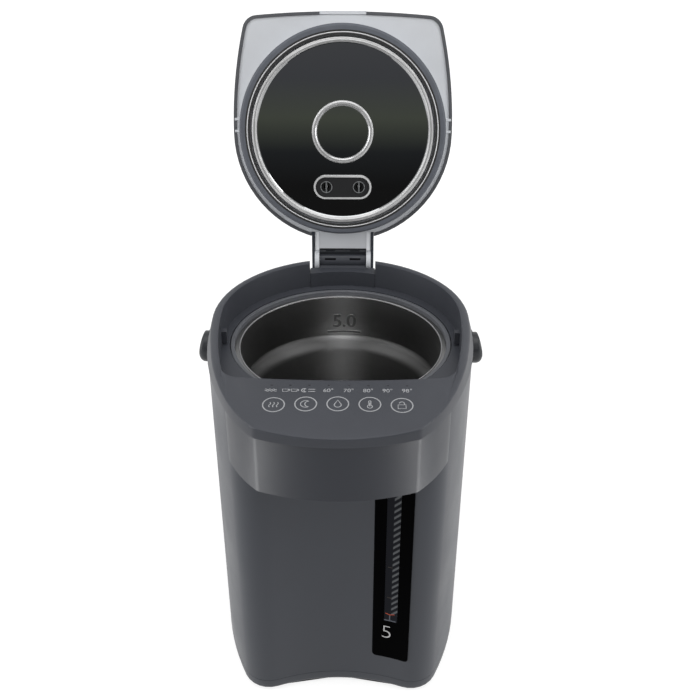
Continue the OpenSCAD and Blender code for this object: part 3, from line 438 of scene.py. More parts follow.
# %% [markdown]
# ## Striped window
# The gauge's window is a dark smoked strip with slanting pale stripes along its right side. The stripes could
# be thin pieces, but two dozen of them would all have to fit the window. The fraction of a slanting height
# repeats by itself, so it draws them, and two more masks keep them to the right side and off the window's
# foot.

# %% Striped window
STRIPE_PITCH = 6.6 * MM
STRIPE_SLOPE = 1.05
STRIPE_LEFT_X = 45.9 * MM
STRIPE_WIDTH = 8 * MM
STRIPE_FOOT_Z = 96.5 * MM
SMOKE = (0.0062, 0.0070, 0.0105)
STRIPE = (0.125, 0.132, 0.138)


def striped_window():
    material, tree, shader = new_finish("window_film")
    place = object_space(tree)
    axes = axes_of(tree, place)
    slant = calculate(tree, "SUBTRACT", axes["Z"], calculate(tree, "MULTIPLY", axes["X"], STRIPE_SLOPE))
    turns = calculate(tree, "FRACT", calculate(tree, "DIVIDE", slant, STRIPE_PITCH))
    stripes = ramp(tree, turns, [(0.0, 0), (0.16, 1), (0.40, 0.8), (0.56, 0)])
    across = calculate(tree, "DIVIDE", calculate(tree, "SUBTRACT", axes["X"], STRIPE_LEFT_X), STRIPE_WIDTH)
    right_side = ramp(tree, across, [(0.0, 0), (0.08, 1), (0.72, 1), (0.85, 0.4)])
    above_foot = calculate(tree, "GREATER_THAN", axes["Z"], STRIPE_FOOT_Z)
    mask = calculate(tree, "MULTIPLY", calculate(tree, "MULTIPLY", stripes, right_side), above_foot)
    film = noise(tree, place, 110.0, detail=3.0)
    put(shader, Base_Color=ramp(tree, mask, [(0.0, SMOKE), (1.0, STRIPE)]), Specular_IOR_Level=0.05,
        Roughness=ramp(tree, film, [(0.4, 0.12), (0.8, 0.2)]))
    return material


WINDOW_FILM = striped_window()
print("window finish:", WINDOW_FILM.name)

# %% [markdown]
# ## Edges on the CAD parts
# A moulding never has a knife edge: a fillet of a few tenths of a millimetre draws the thin bright lines
# that make plastic read as plastic. The fillets could be in the CAD model, but they would cost it many faces.
# The parts arrive as loose triangles, so a Weld joins them first, and a Bevel then rounds only the edges that
# turn by more than a given angle. A part without a fillet has its sharp edges split instead, so that it still
# shades cleanly.

# %% Edge helper
def dress(name, material, edge, angle=32, segments=2):
    part = nodes[name]
    mesh = part.data
    if "custom_normal" in mesh.attributes:
        mesh.attributes.remove(mesh.attributes["custom_normal"])
    mesh.polygons.foreach_set("use_smooth", [True] * len(mesh.polygons))
    mesh.materials.clear()
    mesh.materials.append(material)
    weld = part.modifiers.new("weld", "WELD")
    weld.merge_threshold = 2e-6
    if edge:
        bevel = part.modifiers.new("edge", "BEVEL")
        bevel.width = edge * MM
        bevel.segments = segments
        bevel.limit_method = "ANGLE"
        bevel.angle_limit = math.radians(angle)
        bevel.harden_normals = True
    else:
        split = part.modifiers.new("split", "EDGE_SPLIT")
        split.split_angle = math.radians(angle)

# %% [markdown]
# ## Dress the parts
# Each part gets its finish and the width of its fillet in millimetres. Large mouldings have wider ones than
# small fittings. The deck, the base and the lid's cover are rounded in the CAD model already, and hidden or
# very thin parts need no fillet, so these have a width of 0 and only get clean shading.

# %% Dress the body
dress("body_shell", BODY_GREY, 0.4)
dress("beak_housing", BEAK_GREY, 0.8, segments=3)
dress("control_deck", DECK_GREY, 0, angle=40)
dress("base_cover", BODY_GREY, 0, angle=40)
dress("base_feet", FOOT_RUBBER, 0.3)
dress("base_screws", ZINC_STEEL, 0)
dress("handle", SHADE_GREY, 1.0, segments=3)
dress("handle_seats", SHADE_GREY, 0.4)
dress("handle_pins", ZINC_STEEL, 0.2)
dress("mains_inlet", BLACK_PLASTIC, 0.4)
dress("hinge_bracket", DECK_GREY, 0.4)
dress("hinge_pin", DARK_STEEL, 0.2)
# The springs are black plastic, painted shade for the dark slots they sit behind.
dress("hinge_springs", BLACK_PLASTIC, 0)
dress("hinge_screws", ZINC_STEEL, 0.2)
print("body, handle and hinge dressed")

# %% Dress the pot and the lid
dress("pot_collar", COLLAR_GREY, 0.25)
dress("inner_pot", POT_STEEL, 0.2)
dress("pot_outlet", RIM_STEEL, 0.2)
dress("lid_cover", LID_GREY_PAINTED_LIGHT, 0, angle=40)
dress("hinge_cover", BODY_GREY, 0.3)
dress("hinge_catch", SHADE_GREY, 0.2)
dress("lid_liner", LINER_WHITE, 0.3)
dress("lid_latch", LINER_WHITE, 0.3)
dress("lid_insulation", LINER_WHITE, 0)
dress("lid_gasket", GASKET_BLUE, 0.3)
dress("lid_plate", MIRROR_STEEL, 0, angle=28)
dress("steam_valve", BLACK_PLASTIC, 0.2)
dress("steam_balls", RIM_STEEL, 0)
dress("steam_duct", BLACK_PLASTIC, 0)
print("pot and lid dressed")

# %% Dress the gauge and the hidden works
HIDDEN_WORKS = {
    "heater_plate": CAST_ALLOY, "warm_band": ZINC_STEEL, "thermostats": BLACK_PLASTIC,
    "temp_sensor": RIM_STEEL, "thermal_fuse": NATURAL_PLASTIC, "heat_shield": ZINC_STEEL,
    "pot_support": ZINC_STEEL, "pump_housing": NATURAL_PLASTIC, "pump_cover": NATURAL_PLASTIC,
    "pump_impeller": BLACK_PLASTIC, "pump_shaft": RIM_STEEL, "drive_magnet": BLACK_PLASTIC,
    "pump_motor": ZINC_STEEL, "pump_bracket": BLACK_PLASTIC, "suction_hose": HOSE_SILICONE,
    "delivery_hose": HOSE_SILICONE, "spill_valve": NATURAL_PLASTIC, "spill_ball": RIM_STEEL,
    "spout_duct": NATURAL_PLASTIC, "spout_nozzle": BLACK_PLASTIC, "touch_board": BOARD_GREEN,
    "touch_pads": BLACK_PLASTIC, "power_board": BOARD_GREEN}

dress("gauge_panel", PANEL_BLACK, 0.1)
dress("gauge_lens", WINDOW_FILM, 0)
dress("level_tube", TUBE_GLASS, 0)
dress("tube_cap", HOSE_SILICONE, 0.2)
for part_name, finish in HIDDEN_WORKS.items():
    dress(part_name, finish, 0, angle=30)
print("gauge and", len(HIDDEN_WORKS), "hidden parts dressed")

# %% [markdown]
# ## Pieces of our own
# Prints and thin trim aren't in the CAD model. They are small meshes built in place, so their objects stay
# at the origin and their patterns keep still. A shape made by spinning or extruding may be inside out, so
# its doubles are merged and its faces turned outwards before it is used.

# %% Make a piece
def mesh_from(bm, name):
    bmesh.ops.remove_doubles(bm, verts=bm.verts, dist=1e-7)
    bmesh.ops.recalc_face_normals(bm, faces=bm.faces)
    mesh = bpy.data.meshes.new(name)
    bm.to_mesh(mesh)
    bm.free()
    return mesh


def add_piece(name, mesh, material, body):
    """Shows a mesh as a piece that moves with a body of the CAD model."""
    piece = bpy.data.objects.new(name, mesh)
    bpy.context.scene.collection.objects.link(piece)
    mesh.materials.clear()
    mesh.materials.append(material)
    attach(piece, body)
    return piece

# %% [markdown]
# ## Printing inks
# The marks on the deck and the gauge are screen prints: even, matt and hardly raised. An ink is the moulded
# plastic with less grain and less gloss. Behind the small indicator windows lies smoked plastic.

# %% Printing inks
def ink(name, colour, roughness=0.45):
    return moulded_plastic(name, colour, roughness, grain=0.02, gloss=0.2)


PRINT_GREY = ink("print_grey", (0.30, 0.305, 0.315), 0.5)
PRINT_PALE = ink("print_pale", (0.55, 0.55, 0.55))
PRINT_RED = ink("print_red", (0.42, 0.075, 0.035))
PRINT_BROWN = ink("print_brown", (0.045, 0.036, 0.028))
# The foot's grey also paints the upright highlight on the end of the level tube.
FOOT_AND_HIGHLIGHT_GREY = ink("window_foot", (0.085, 0.092, 0.112), 0.3)
LAMP_SMOKE = moulded_plastic("lamp_smoke", (0.022, 0.022, 0.025), 0.25, grain=0.01, spread=0.02, gloss=0.3)
print("inks: grey, pale, red, brown and the window's foot")

# %% [markdown]
# ## Rings of the touch fields
# The deck's front is one smooth skin with five touch fields under it, and only thin printed rings show where
# they are. A ring could be a texture, but its edge would blur from close by. Here a tiny rectangle is spun
# round into a film a twentieth of a millimetre thick, which is then laid in the deck's slope.

# %% Place things on the deck
FILM = 0.05
DECK_SLOPE = math.radians(6.1)
DECK_BREAK_Y = -100.0
DECK_TOP_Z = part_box("control_deck")[1].z


def deck_place(x, y):
    """Lays what is drawn flat round the origin on the slope of the deck, at x and y in millimetres."""
    z = DECK_TOP_Z + (y - DECK_BREAK_Y) * MM * math.tan(DECK_SLOPE)
    return Matrix.Translation((x * MM, y * MM, z)) @ Matrix.Rotation(DECK_SLOPE, 4, "X")


FIELD_ROW_Y = -135.6
FIELD_PITCH = 24.1
FIELD_BOW = 0.35


def field_place(column):
    """Middle of a touch field, counted from the middle one. The row bows a little towards the front."""
    return deck_place(column * FIELD_PITCH, FIELD_ROW_Y - FIELD_BOW * column * column)

# %% Printed rings
def add_ring(bm, place, outer, width, low, high, steps):
    """Adds a flat ring between two heights, all in millimetres. A tag marks the rings that are in place."""
    corners = [bm.verts.new((radius * MM, 0, height * MM)) for radius, height in
               ((outer - width, low), (outer, low), (outer, high), (outer - width, high))]
    edges = [bm.edges.new((corners[i], corners[(i + 1) % 4])) for i in range(4)]
    bmesh.ops.spin(bm, geom=corners + edges, cent=(0, 0, 0), axis=(0, 0, 1), dvec=(0, 0, 0),
                   angle=math.tau, steps=steps, use_merge=True)
    fresh = [vert for vert in bm.verts if not vert.tag]
    bmesh.ops.transform(bm, matrix=place, verts=fresh)
    for vert in fresh:
        vert.tag = True


ring_mesh = bmesh.new()
for column in range(-2, 3):
    add_ring(ring_mesh, field_place(column), outer=8.6, width=0.95, low=-0.02, high=FILM, steps=72)
rings = add_piece("touch_rings", mesh_from(ring_mesh, "touch_rings"), PRINT_GREY, "pot_body")
print("touch rings:", len(rings.data.polygons), "faces")

# %% [markdown]
# ## Signs in the rings
# Each ring holds a line drawing of what its field does: steam, a moon for night, a drop, a thermometer and a
# padlock. They are drawn with pen strokes: short curves with a round section, which give round ends and even
# corners for nothing. A curve is made a mesh first and pressed flat to the thickness of the print.

# %% Pen strokes
def pen(name, strokes, width, place, material):
    """Draws strokes, each a list of points in millimetres and whether it is closed, on the pot's body."""
    curve = bpy.data.curves.new(name, "CURVE")
    curve.dimensions = "3D"
    curve.bevel_depth = width / 2 * MM
    curve.bevel_resolution = 2
    curve.use_fill_caps = True
    for points, closed in strokes:
        line = curve.splines.new("POLY")
        line.points.add(len(points) - 1)
        for point, (x, y) in zip(line.points, points):
            point.co = (x * MM, y * MM, 0, 1)
        line.use_cyclic_u = closed
    mesh = evaluated_mesh(name, curve)
    mesh.transform(place @ Matrix.Scale(2 * FILM / width, 4, (0, 0, 1)))
    return add_piece(name, mesh, material, "pot_body")


def evaluated_mesh(name, curve):
    """The mesh that a curve or a text makes; the object that drew it is removed."""
    drawn = bpy.data.objects.new(name + "_drawn", curve)
    bpy.context.scene.collection.objects.link(drawn)
    bpy.context.view_layer.update()
    mesh = bpy.data.meshes.new_from_object(drawn.evaluated_get(bpy.context.evaluated_depsgraph_get()))
    bpy.data.objects.remove(drawn)
    mesh.name = name
    return mesh

# %% Strokes to draw with
def wave(x0, x1, y, height, count, steps=24):
    return [(x0 + (x1 - x0) * i / steps, y + height * math.sin(math.tau * count * i / steps))
            for i in range(steps + 1)]


def bow(cx, cy, radius, start, end, steps=20):
    """Arc round a middle, between two angles in degrees."""
    angles = [math.radians(start + (end - start) * i / steps) for i in range(steps + 1)]
    return [(cx + radius * math.cos(angle), cy + radius * math.sin(angle)) for angle in angles]


def turned(points):
    return [(-y, x) for x, y in points]


def scaled(strokes, factor, dx=0.0):
    return [([(x * factor + dx, y * factor) for x, y in points], closed) for points, closed in strokes]

# %% Signs in the rings
STEAM = [(turned(wave(-2.6, 2.6, offset, 0.55, 1.0)), False) for offset in (-2.6, 0, 2.6)]
MOON = [(bow(0, 0, 3.5, 55, 305) + bow(2.3, 0, 2.9, 262, 98), True)]
DROP = [(bow(0, -1.1, 2.4, 150, 390) + [(0, 4.1)], True)]
THERMOMETER = [(bow(0, -2.4, 1.7, 115, 425) + bow(0, 3.0, 0.75, 0, 180), True),
               ([(0, -2.2), (0, 1.6)], False)]
PADLOCK = [([(-2.7, -3.4), (2.7, -3.4), (2.7, 0.6), (-2.7, 0.6)], True),
           ([(1.7, 0.6), (1.7, 2.0)] + bow(0, 2.0, 1.7, 0, 180), False)]
SIGN_SCALE = 1.1
SIGN_LINE = 0.78

for number, sign in enumerate((STEAM, MOON, DROP, THERMOMETER, PADLOCK), start=1):
    pen("touch_sign_%d" % number, scaled(sign, SIGN_SCALE), SIGN_LINE, field_place(number - 3), PRINT_GREY)
print("signs drawn: steam, moon, drop, thermometer, padlock")

# %% [markdown]
# ## Row of labels
# Behind the rings runs a row of small labels, each with its indicator window: boiling waves, a pair of cups
# for keeping warm, a moon with two bars for saving, and five temperatures. The signs use the same pen. The
# temperatures are Blender's own text, extruded by the thickness of the print and made a mesh.

# %% Three small signs
LABEL_ROW_Y = -119.8
LABEL_X = (-51.6, -37.2, -22.6, -7.5, 8.1, 23.0, 37.8, 52.7)
CUP = [([(-2.6, 1.5), (-2.2, -1.6), (2.2, -1.6), (2.6, 1.5)], True), (bow(2.7, 0.2, 1.0, -80, 80), False)]
WAVES = [(wave(-4.4, 4.4, offset, 0.45, 3), False) for offset in (-0.9, 0.9)]
CUPS = scaled(CUP, 0.9, -3.2) + scaled(CUP, 0.9, 3.6)
BARS = [([(-0.2, height), (5.2, height)], False) for height in (-1.3, 1.3)]
MOON_AND_BARS = scaled(MOON, 0.6, -3.2) + BARS

for name, sign, line, x in (("label_boil", WAVES, 0.8, LABEL_X[0]), ("label_warm", CUPS, 0.75, LABEL_X[1]),
                            ("label_saving", MOON_AND_BARS, 0.8, LABEL_X[2])):
    pen(name, sign, line, deck_place(x, LABEL_ROW_Y), PRINT_GREY)
print("label signs drawn")

# %% Temperatures and indicator windows
DIGIT_SHARE = 0.70


def text_mesh(name, words, height, thickness, weight=0.0, rounding=0.0):
    """Text round the origin, sized by its digits; weight makes its strokes bolder or thinner."""
    text = bpy.data.curves.new(name, "FONT")
    text.body = words
    text.size = height * MM / DIGIT_SHARE
    text.align_x = "CENTER"
    text.align_y = "CENTER"
    text.resolution_u = 6
    text.extrude = thickness / 2 * MM
    text.offset = weight * MM
    text.bevel_depth = rounding * MM
    return evaluated_mesh(name, text)


for x, degrees in zip(LABEL_X[3:], ("60", "70", "80", "90", "98")):
    mesh = text_mesh("label_" + degrees, degrees + "\u00b0", height=4.1, thickness=2 * FILM, weight=0.03)
    mesh.transform(deck_place(x, LABEL_ROW_Y - 0.2))
    add_piece("label_" + degrees, mesh, PRINT_GREY, "pot_body")
WINDOW_STROKE = [([(-0.9, 0), (0.9, 0)], False)]
for number, x in enumerate(LABEL_X, start=1):
    pen("indicator_%d" % number, WINDOW_STROKE, 1.0, deck_place(x + 0.3, LABEL_ROW_Y + 6.0), LAMP_SMOKE)
print("temperatures and", len(LABEL_X), "indicator windows placed")

# %% [markdown]
# ## Marks on the gauge
# The gauge's panel is a shallow trough with a large number, a red line for the lowest level, three dim ticks
# and a grey foot under the window, with an upright grey bar on the foot that paints the highlight of the
# tube's end. A mark drawn flat would cut into the trough. So each is made flat, as text or as a bar with cuts
# across, and then bent round the trough's axis, which stands in front of the pot.

# %% Bend a mark into a trough
TROUGH_Y = -277 * MM
TROUGH_R = 164.25 * MM


def bend_in_drum(mesh, radius, axis_y, x_middle, z_middle, lift):
    """Lays a flat mesh on the inside of an upright drum, lifted off its wall by lift millimetres."""
    for vert in mesh.vertices:
        angle = (vert.co.x + x_middle * MM) / radius
        reach = radius - lift * MM - vert.co.z
        vert.co = (reach * math.sin(angle), axis_y + reach * math.cos(angle), vert.co.y + z_middle * MM)
    mesh.update()


def bend_on_gauge(mesh, x_middle, z_middle):
    bend_in_drum(mesh, TROUGH_R, TROUGH_Y, x_middle, z_middle, lift=0.03)


number_five = text_mesh("gauge_five", "5", height=16.0, thickness=2 * FILM, weight=-0.45)
bend_on_gauge(number_five, x_middle=43.2, z_middle=73.0)
add_piece("gauge_five", number_five, PRINT_PALE, "pot_body")
print("gauge number:", len(number_five.polygons), "faces")

# %% Gauge lines
BAR_CUTS = 12
LOW_LINE_WAVES = 1.1


def flat_bar(name, width, height, thickness, wavy=0.0):
    """Bar round the origin that can be bent across its width; wavy is how far its line swings."""
    bm = bmesh.new()
    bmesh.ops.create_grid(bm, x_segments=BAR_CUTS, y_segments=1, size=0.5)
    bmesh.ops.transform(bm, verts=bm.verts, matrix=Matrix.Diagonal((width * MM, height * MM, 1, 1)))
    shell = bmesh.ops.extrude_face_region(bm, geom=bm.faces[:])
    raised = [item for item in shell["geom"] if isinstance(item, bmesh.types.BMVert)]
    bmesh.ops.translate(bm, verts=raised, vec=(0, 0, thickness * MM))
    for vert in bm.verts:
        vert.co.y += wavy * MM * math.cos(math.tau * LOW_LINE_WAVES * vert.co.x / (width * MM))
    return mesh_from(bm, name)


def gauge_line(name, x0, x1, z, height, material, wavy=0.0):
    mesh = flat_bar(name, x1 - x0, height, FILM, wavy)
    bend_on_gauge(mesh, (x0 + x1) / 2, z)
    add_piece(name, mesh, material, "pot_body")


gauge_line("gauge_low_line", x0=41.6, x1=49.9, z=96.8, height=0.9, material=PRINT_RED, wavy=-0.5)
for number, tick_z in enumerate((117, 153, 236), start=1):
    gauge_line("gauge_tick_%d" % number, x0=42.8, x1=47.0, z=tick_z, height=0.6, material=PRINT_BROWN)
gauge_line("window_foot", x0=40.6, x1=51.4, z=88.9, height=1.3, material=FOOT_AND_HIGHLIGHT_GREY)
# An upright bar of painted highlight on the end of the level tube.
gauge_line("tube_end_highlight", x0=45.2, x1=46.2, z=92.5, height=6.0, material=FOOT_AND_HIGHLIGHT_GREY)
print("gauge marks placed")

# %% [markdown]
# ## Fill mark
# The highest level is pressed into the pot's back wall as a number over a bar. Pressing it into the wall with
# a boolean would leave long thin faces in a round surface. Here the mark stands half a millimetre proud at
# most. It is bent round the wall like the marks on the gauge, and softened at its edges.

# %% Fill mark
POT_WALL_R = 84.5 * MM
MARK_X = 2.0

mark_number = text_mesh("fill_number", "5.0", height=13.5, thickness=0.3, weight=0.2, rounding=0.22)
bend_in_drum(mark_number, POT_WALL_R, axis_y=0.0, x_middle=MARK_X, z_middle=284.5, lift=0.05)
add_piece("fill_number", mark_number, MARK_STEEL, "pot_body")
mark_bar = flat_bar("fill_bar", width=33, height=2.4, thickness=0.5)
bend_in_drum(mark_bar, POT_WALL_R, axis_y=0.0, x_middle=MARK_X, z_middle=273.5, lift=0.0)
bar_piece = add_piece("fill_bar", mark_bar, MARK_STEEL, "pot_body")
bar_edge = bar_piece.modifiers.new("edge", "BEVEL")
bar_edge.width = 0.35 * MM
bar_edge.segments = 3
print("fill mark:", len(mark_number.polygons) + len(mark_bar.polygons), "faces")

# %% [markdown]
# ## Hems
# The pot's rim and the edge of the lid's plate are rolled over a wire, which leaves a thin light line. A
# torus would do, but a circle spun round an axis is set at its height and turned with the lid in one go. The
# dark flat ring under the plate's hem is painted shade in the groove that the gasket sits in.

# %% Hems and groove
UPRIGHT = Matrix.Identity(4)


def spun_wire(name, radius, wire, height, place, material, body, steps):
    """Ring of round wire; all sizes in millimetres."""
    bm = bmesh.new()
    circle = bmesh.ops.create_circle(bm, segments=14, radius=wire * MM)
    stand = Matrix.Translation((radius * MM, 0, height * MM)) @ Matrix.Rotation(math.radians(90), 4, "X")
    bmesh.ops.transform(bm, verts=circle["verts"], matrix=stand)
    bmesh.ops.spin(bm, geom=bm.verts[:] + bm.edges[:], cent=(0, 0, 0), axis=(0, 0, 1), dvec=(0, 0, 0),
                   angle=math.tau, steps=steps, use_merge=True)
    bmesh.ops.transform(bm, verts=bm.verts, matrix=place)
    mesh = mesh_from(bm, name)
    mesh.polygons.foreach_set("use_smooth", [True] * len(mesh.polygons))
    return add_piece(name, mesh, material, body)


spun_wire("pot_rim_hem", radius=89.6, wire=0.6, height=308.7, place=UPRIGHT, material=RIM_HEM_STEEL,
          body="pot_body", steps=160)
spun_wire("plate_hem", radius=88.9, wire=0.5, height=313.15, place=TO_OPEN, material=HEM_STEEL,
          body="lid", steps=240)
groove = bmesh.new()
add_ring(groove, TO_OPEN, outer=91.0, width=4.6, low=313.1, high=313.5, steps=160)
add_piece("groove_painted_shade", mesh_from(groove, "groove_painted_shade"), FOOT_RUBBER, "lid")
print("hems and groove spun")

# %% [markdown]
# ## Steam holes
# Steam leaves the pot through two round holes in the plate's recess. Each has a pressed seat and one bar
# across it that keeps the valve's ball in. The seat is a spun wire again, and the bar a flat one.

# %% Steam holes
STEAM_X = 15.5

for side, name in ((-1, "left"), (1, "right")):
    hole = TO_OPEN @ Matrix.Translation((side * STEAM_X * MM, STEAM_Y * MM, 0))
    spun_wire("valve_seat_" + name, radius=5.3, wire=0.4, height=316.3, place=hole, material=VALVE_STEEL,
              body="lid", steps=48)
    guard = flat_bar("valve_guard_" + name, width=1.4, height=9.8, thickness=0.5)
    guard.transform(hole @ Matrix.Translation((0, 0, 316.1 * MM)))
    add_piece("valve_guard_" + name, guard, VALVE_STEEL, "lid")
print("seats and guards of the steam holes placed")

# %% [markdown]
# ## Hinge trim
# A thin half shell lies round the hinge's barrel, with a raised line and two narrow dark slots on it. The
# raised line's lighter grey paints its highlight, and the slots are painted shade: cutting them would open a
# view of the springs, so they are dark strips a little proud of the shell. Each of these is a rectangle spun
# part of the way round the hinge's pin, which leaves both of its ends closed.

# %% Barrel shell, ridge and painted slot shade
SHELL_HALF_WIDTH = 22.5


def barrel_strip(name, x0, x1, inner, outer, start, end, material, steps):
    """Strip of a tube round the hinge's pin, with radii in millimetres and angles up from the back."""
    bm = bmesh.new()
    bm.faces.new([bm.verts.new((x * MM, reach * MM, 0)) for x, reach in
                  ((x0, inner), (x1, inner), (x1, outer), (x0, outer))])
    stand = Matrix.Translation(HINGE_POINT) @ Matrix.Rotation(math.radians(start), 4, "X")
    bmesh.ops.transform(bm, verts=bm.verts, matrix=stand)
    bmesh.ops.spin(bm, geom=bm.verts[:] + bm.edges[:] + bm.faces[:], cent=HINGE_POINT, axis=(1, 0, 0),
                   dvec=(0, 0, 0), angle=math.radians(end - start), steps=steps)
    return add_piece(name, mesh_from(bm, name), material, "pot_body")


shell = barrel_strip("barrel_shell", -SHELL_HALF_WIDTH, SHELL_HALF_WIDTH, inner=6.54, outer=6.82, start=95,
                     end=215, material=DECK_GREY, steps=24)
barrel_strip("barrel_ridge", -SHELL_HALF_WIDTH, SHELL_HALF_WIDTH, inner=6.80, outer=6.92, start=126,
             end=132, material=LID_GREY_PAINTED_LIGHT, steps=4)
# Dark strips of painted shade where the barrel's slots are.
for x0, x1, name in ((-17.6, -6.8, "left"), (6.8, 17.6, "right")):
    barrel_strip("barrel_slot_shade_" + name, x0, x1, inner=6.7, outer=6.87, start=140, end=157,
                 material=SLOT_PAINTED_SHADE, steps=6)
print("barrel shell:", len(shell.data.polygons), "faces")

# %% [markdown]
# ## Rails and slit shade
# Two pale rails run down the lid's neck, in a lighter copy of the liner's white that paints the light on the
# neck's cheeks. A thin dark sheet fills the narrow slit at each side of the hinge's block, as painted shade.
# Both are plain boxes. A cube of size one, stretched and moved by one matrix, is the shortest way to such a
# box, and the rails are made on the closed lid and swung open.

# %% Rails and slit shade
BLOCK_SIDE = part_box("hinge_bracket")[1].x / MM
SLIT = 0.3
RAIL_SIZE = (4.0, 18.0, 0.5)
RAIL_X, RAIL_Y, RAIL_Z = 25.4, 107.5, 330.9
SLIT_SHADE_SIZE = (0.4, 11.0, 14.0)
SLIT_SHADE_Y, SLIT_SHADE_Z = 109.5, 319.5


def box_piece(name, middle, size, place, material, body):
    """Box round its middle, with all sizes in millimetres."""
    bm = bmesh.new()
    bmesh.ops.create_cube(bm, size=1.0)
    shape = Matrix.Translation(Vector(middle) * MM) @ Matrix.Diagonal((*(Vector(size) * MM), 1))
    bmesh.ops.transform(bm, verts=bm.verts, matrix=place @ shape)
    return add_piece(name, mesh_from(bm, name), material, body)


for side, name in ((-1, "left"), (1, "right")):
    slit_shade_x = side * (BLOCK_SIDE + SLIT / 2)
    box_piece("neck_rail_" + name, (side * RAIL_X, RAIL_Y, RAIL_Z), RAIL_SIZE, TO_OPEN, RAIL_PAINTED_LIGHT, "lid")
    box_piece("saddle_slit_shade_" + name, (slit_shade_x, SLIT_SHADE_Y, SLIT_SHADE_Z), SLIT_SHADE_SIZE, UPRIGHT, SHADE_GREY, "pot_body")
print("rails and seals placed")

# %% [markdown]
# ## Floor
# A product stands on white, with a soft shadow under it. A strong lamp could make the floor white, but it
# would also wash out the pot. So the floor glows only for rays that look at it, from the camera, off a mirror
# or through glass, while it lights the pot as a plain grey one. The glow grows with the distance, to hide the
# floor's far edge, and fades far away for mirrored rays, so that the steel has something dark to show.

# %% Rays that look at the studio
def seen_directly(tree):
    path = tree.nodes.new("ShaderNodeLightPath").outputs
    unmirrored = calculate(tree, "MAXIMUM", path["Is Camera Ray"], path["Is Transmission Ray"])
    return calculate(tree, "MAXIMUM", unmirrored, path["Is Glossy Ray"])

# %% Floor
FLOOR_HALF = 6.0
GLOW_REACH = 2.0
GLOW_LEVELS = [(0.3, 0.8), (0.8, 1.0)]
DUSK_LEVELS = [(0.3, 0.0), (0.6, 0.97)]


def floor_finish():
    material, tree, shader = new_finish("studio_floor")
    seen = seen_directly(tree)
    ruler = add_node(tree, "ShaderNodeVectorMath", {"operation": "LENGTH"}, Vector=object_space(tree))
    away = ruler.outputs["Value"]
    glow = ramp(tree, calculate(tree, "DIVIDE", away, GLOW_REACH), GLOW_LEVELS)
    dusk = ramp(tree, calculate(tree, "DIVIDE", away, FLOOR_HALF), DUSK_LEVELS)
    mirrored = tree.nodes.new("ShaderNodeLightPath").outputs["Is Glossy Ray"]
    lost = calculate(tree, "MULTIPLY", mirrored, dusk)
    kept = calculate(tree, "MULTIPLY", seen, calculate(tree, "SUBTRACT", 1.0, lost))
    put(shader, Roughness=0.9, Specular_IOR_Level=0.0, Base_Color=ramp(tree, seen, [(0.0, 0.5), (1.0, 0.3)]),
        Emission_Color=(1, 1, 1, 1), Emission_Strength=calculate(tree, "MULTIPLY", kept, glow))
    return material


floor_grid = bmesh.new()
bmesh.ops.create_grid(floor_grid, x_segments=1, y_segments=1, size=FLOOR_HALF)
floor_mesh = bpy.data.meshes.new("studio_floor")
floor_grid.to_mesh(floor_mesh)
floor_grid.free()
floor_mesh.materials.append(floor_finish())
floor = bpy.data.objects.new("studio_floor", floor_mesh)
bpy.context.scene.collection.objects.link(floor)
print("floor laid,", 2 * FLOOR_HALF, "m wide")

# %% [markdown]
# ## World
# Behind the pot everything is white to the camera and through glass. Steel has to mirror something else, or
# it looks like paper: a room that is dark low down in front and light behind and above. All other rays get an
# even grey, which fills the shadows. One light path picks among the three.

# %% World
WHITE = (1, 1, 1, 1)
FILL = (0.45, 0.45, 0.45, 1)
FRONT_ROOM = [(0.0, 0.012), (0.035, (0.022, 0.024, 0.026)), (0.07, (0.084, 0.093, 0.074)),
              (0.11, (0.072, 0.075, 0.082)), (0.35, 0.14), (1.0, 0.8)]

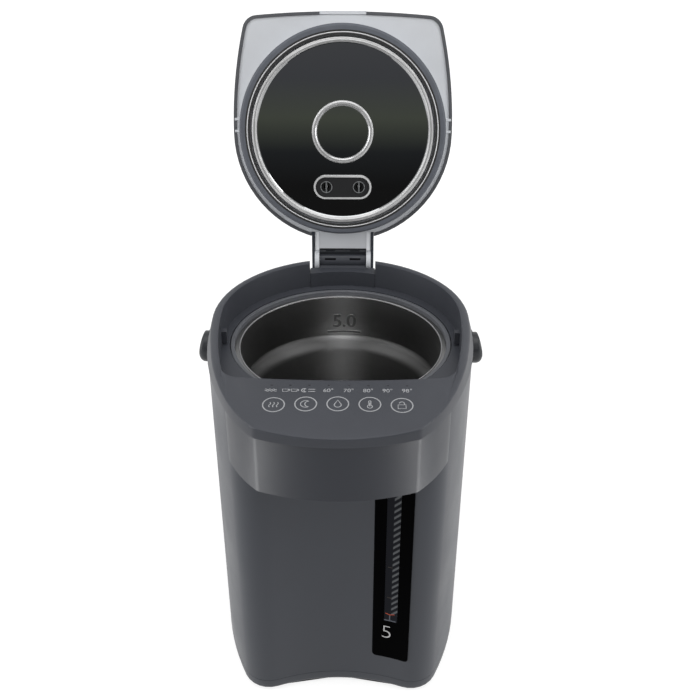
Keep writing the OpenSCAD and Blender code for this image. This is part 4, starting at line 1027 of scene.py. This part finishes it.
world = bpy.data.worlds.new("studio_world")
bpy.context.scene.world = world
world.use_nodes = True
sky = world.node_tree
towards = axes_of(sky, sky.nodes.new("ShaderNodeTexCoord").outputs["Generated"])
depth = add_node(sky, "ShaderNodeMapRange", {"clamp": True}, Value=towards["Y"], From_Min=-0.75, From_Max=0.3)
room = mix(sky, depth.outputs["Result"], ramp(sky, towards["Z"], FRONT_ROOM), WHITE)
path = sky.nodes.new("ShaderNodeLightPath").outputs
lighting = mix(sky, path["Is Glossy Ray"], FILL, room)
clear = calculate(sky, "MAXIMUM", path["Is Camera Ray"], path["Is Transmission Ray"])
put(sky.nodes["Background"], Color=mix(sky, clear, lighting, WHITE))
print("world:", world.name)

# %% [markdown]
# ## Lamps
# Two tall soft boxes stand to the sides and give the grey body a bright edge on each side, a broad one hangs
# above, and a weak one in front fills in. The beak's corners would stay dark, so two low reflectors lie at
# its sides. They would show as pale patches in the body too, so light linking keeps them to the beak.

# %% Lamps
def soft_box(name, place, aim, size, power):
    """Lamp in the shape of a rectangle, turned towards its aim; metres and watts."""
    lamp = bpy.data.lights.new(name, "AREA")
    lamp.shape = "RECTANGLE"
    lamp.size, lamp.size_y = size
    lamp.energy = power
    lamp_object = bpy.data.objects.new(name, lamp)
    bpy.context.scene.collection.objects.link(lamp_object)
    lamp_object.location = place
    lamp_object.rotation_euler = (Vector(aim) - Vector(place)).to_track_quat("-Z", "Y").to_euler()
    return lamp_object


for side, name in ((-1, "left"), (1, "right")):
    soft_box(name + "_box", (side * 1.55, -0.45, 0.75), aim=(0, 0, 0.25), size=(0.5, 1.8), power=17)
soft_box("top_box", (0, -0.2, 2.0), aim=(0, 0, 0.3), size=(1.6, 1.2), power=14)
soft_box("front_box", (0, -2.4, 1.6), aim=(0, 0, 0.3), size=(1.2, 0.8), power=5)
beak_only = bpy.data.collections.new("beak_only")
beak_only.objects.link(nodes["beak_housing"])
for side, name in ((-1, "left"), (1, "right")):
    reflector = soft_box(name + "_reflector", (side * 0.425, -0.315, 0.006), aim=(side * 0.425, -0.315, 1),
                         size=(0.30, 0.36), power=2.0)
    reflector.visible_camera = False
    reflector.light_linking.receiver_collection = beak_only
print("lamps:", len(bpy.data.lights))
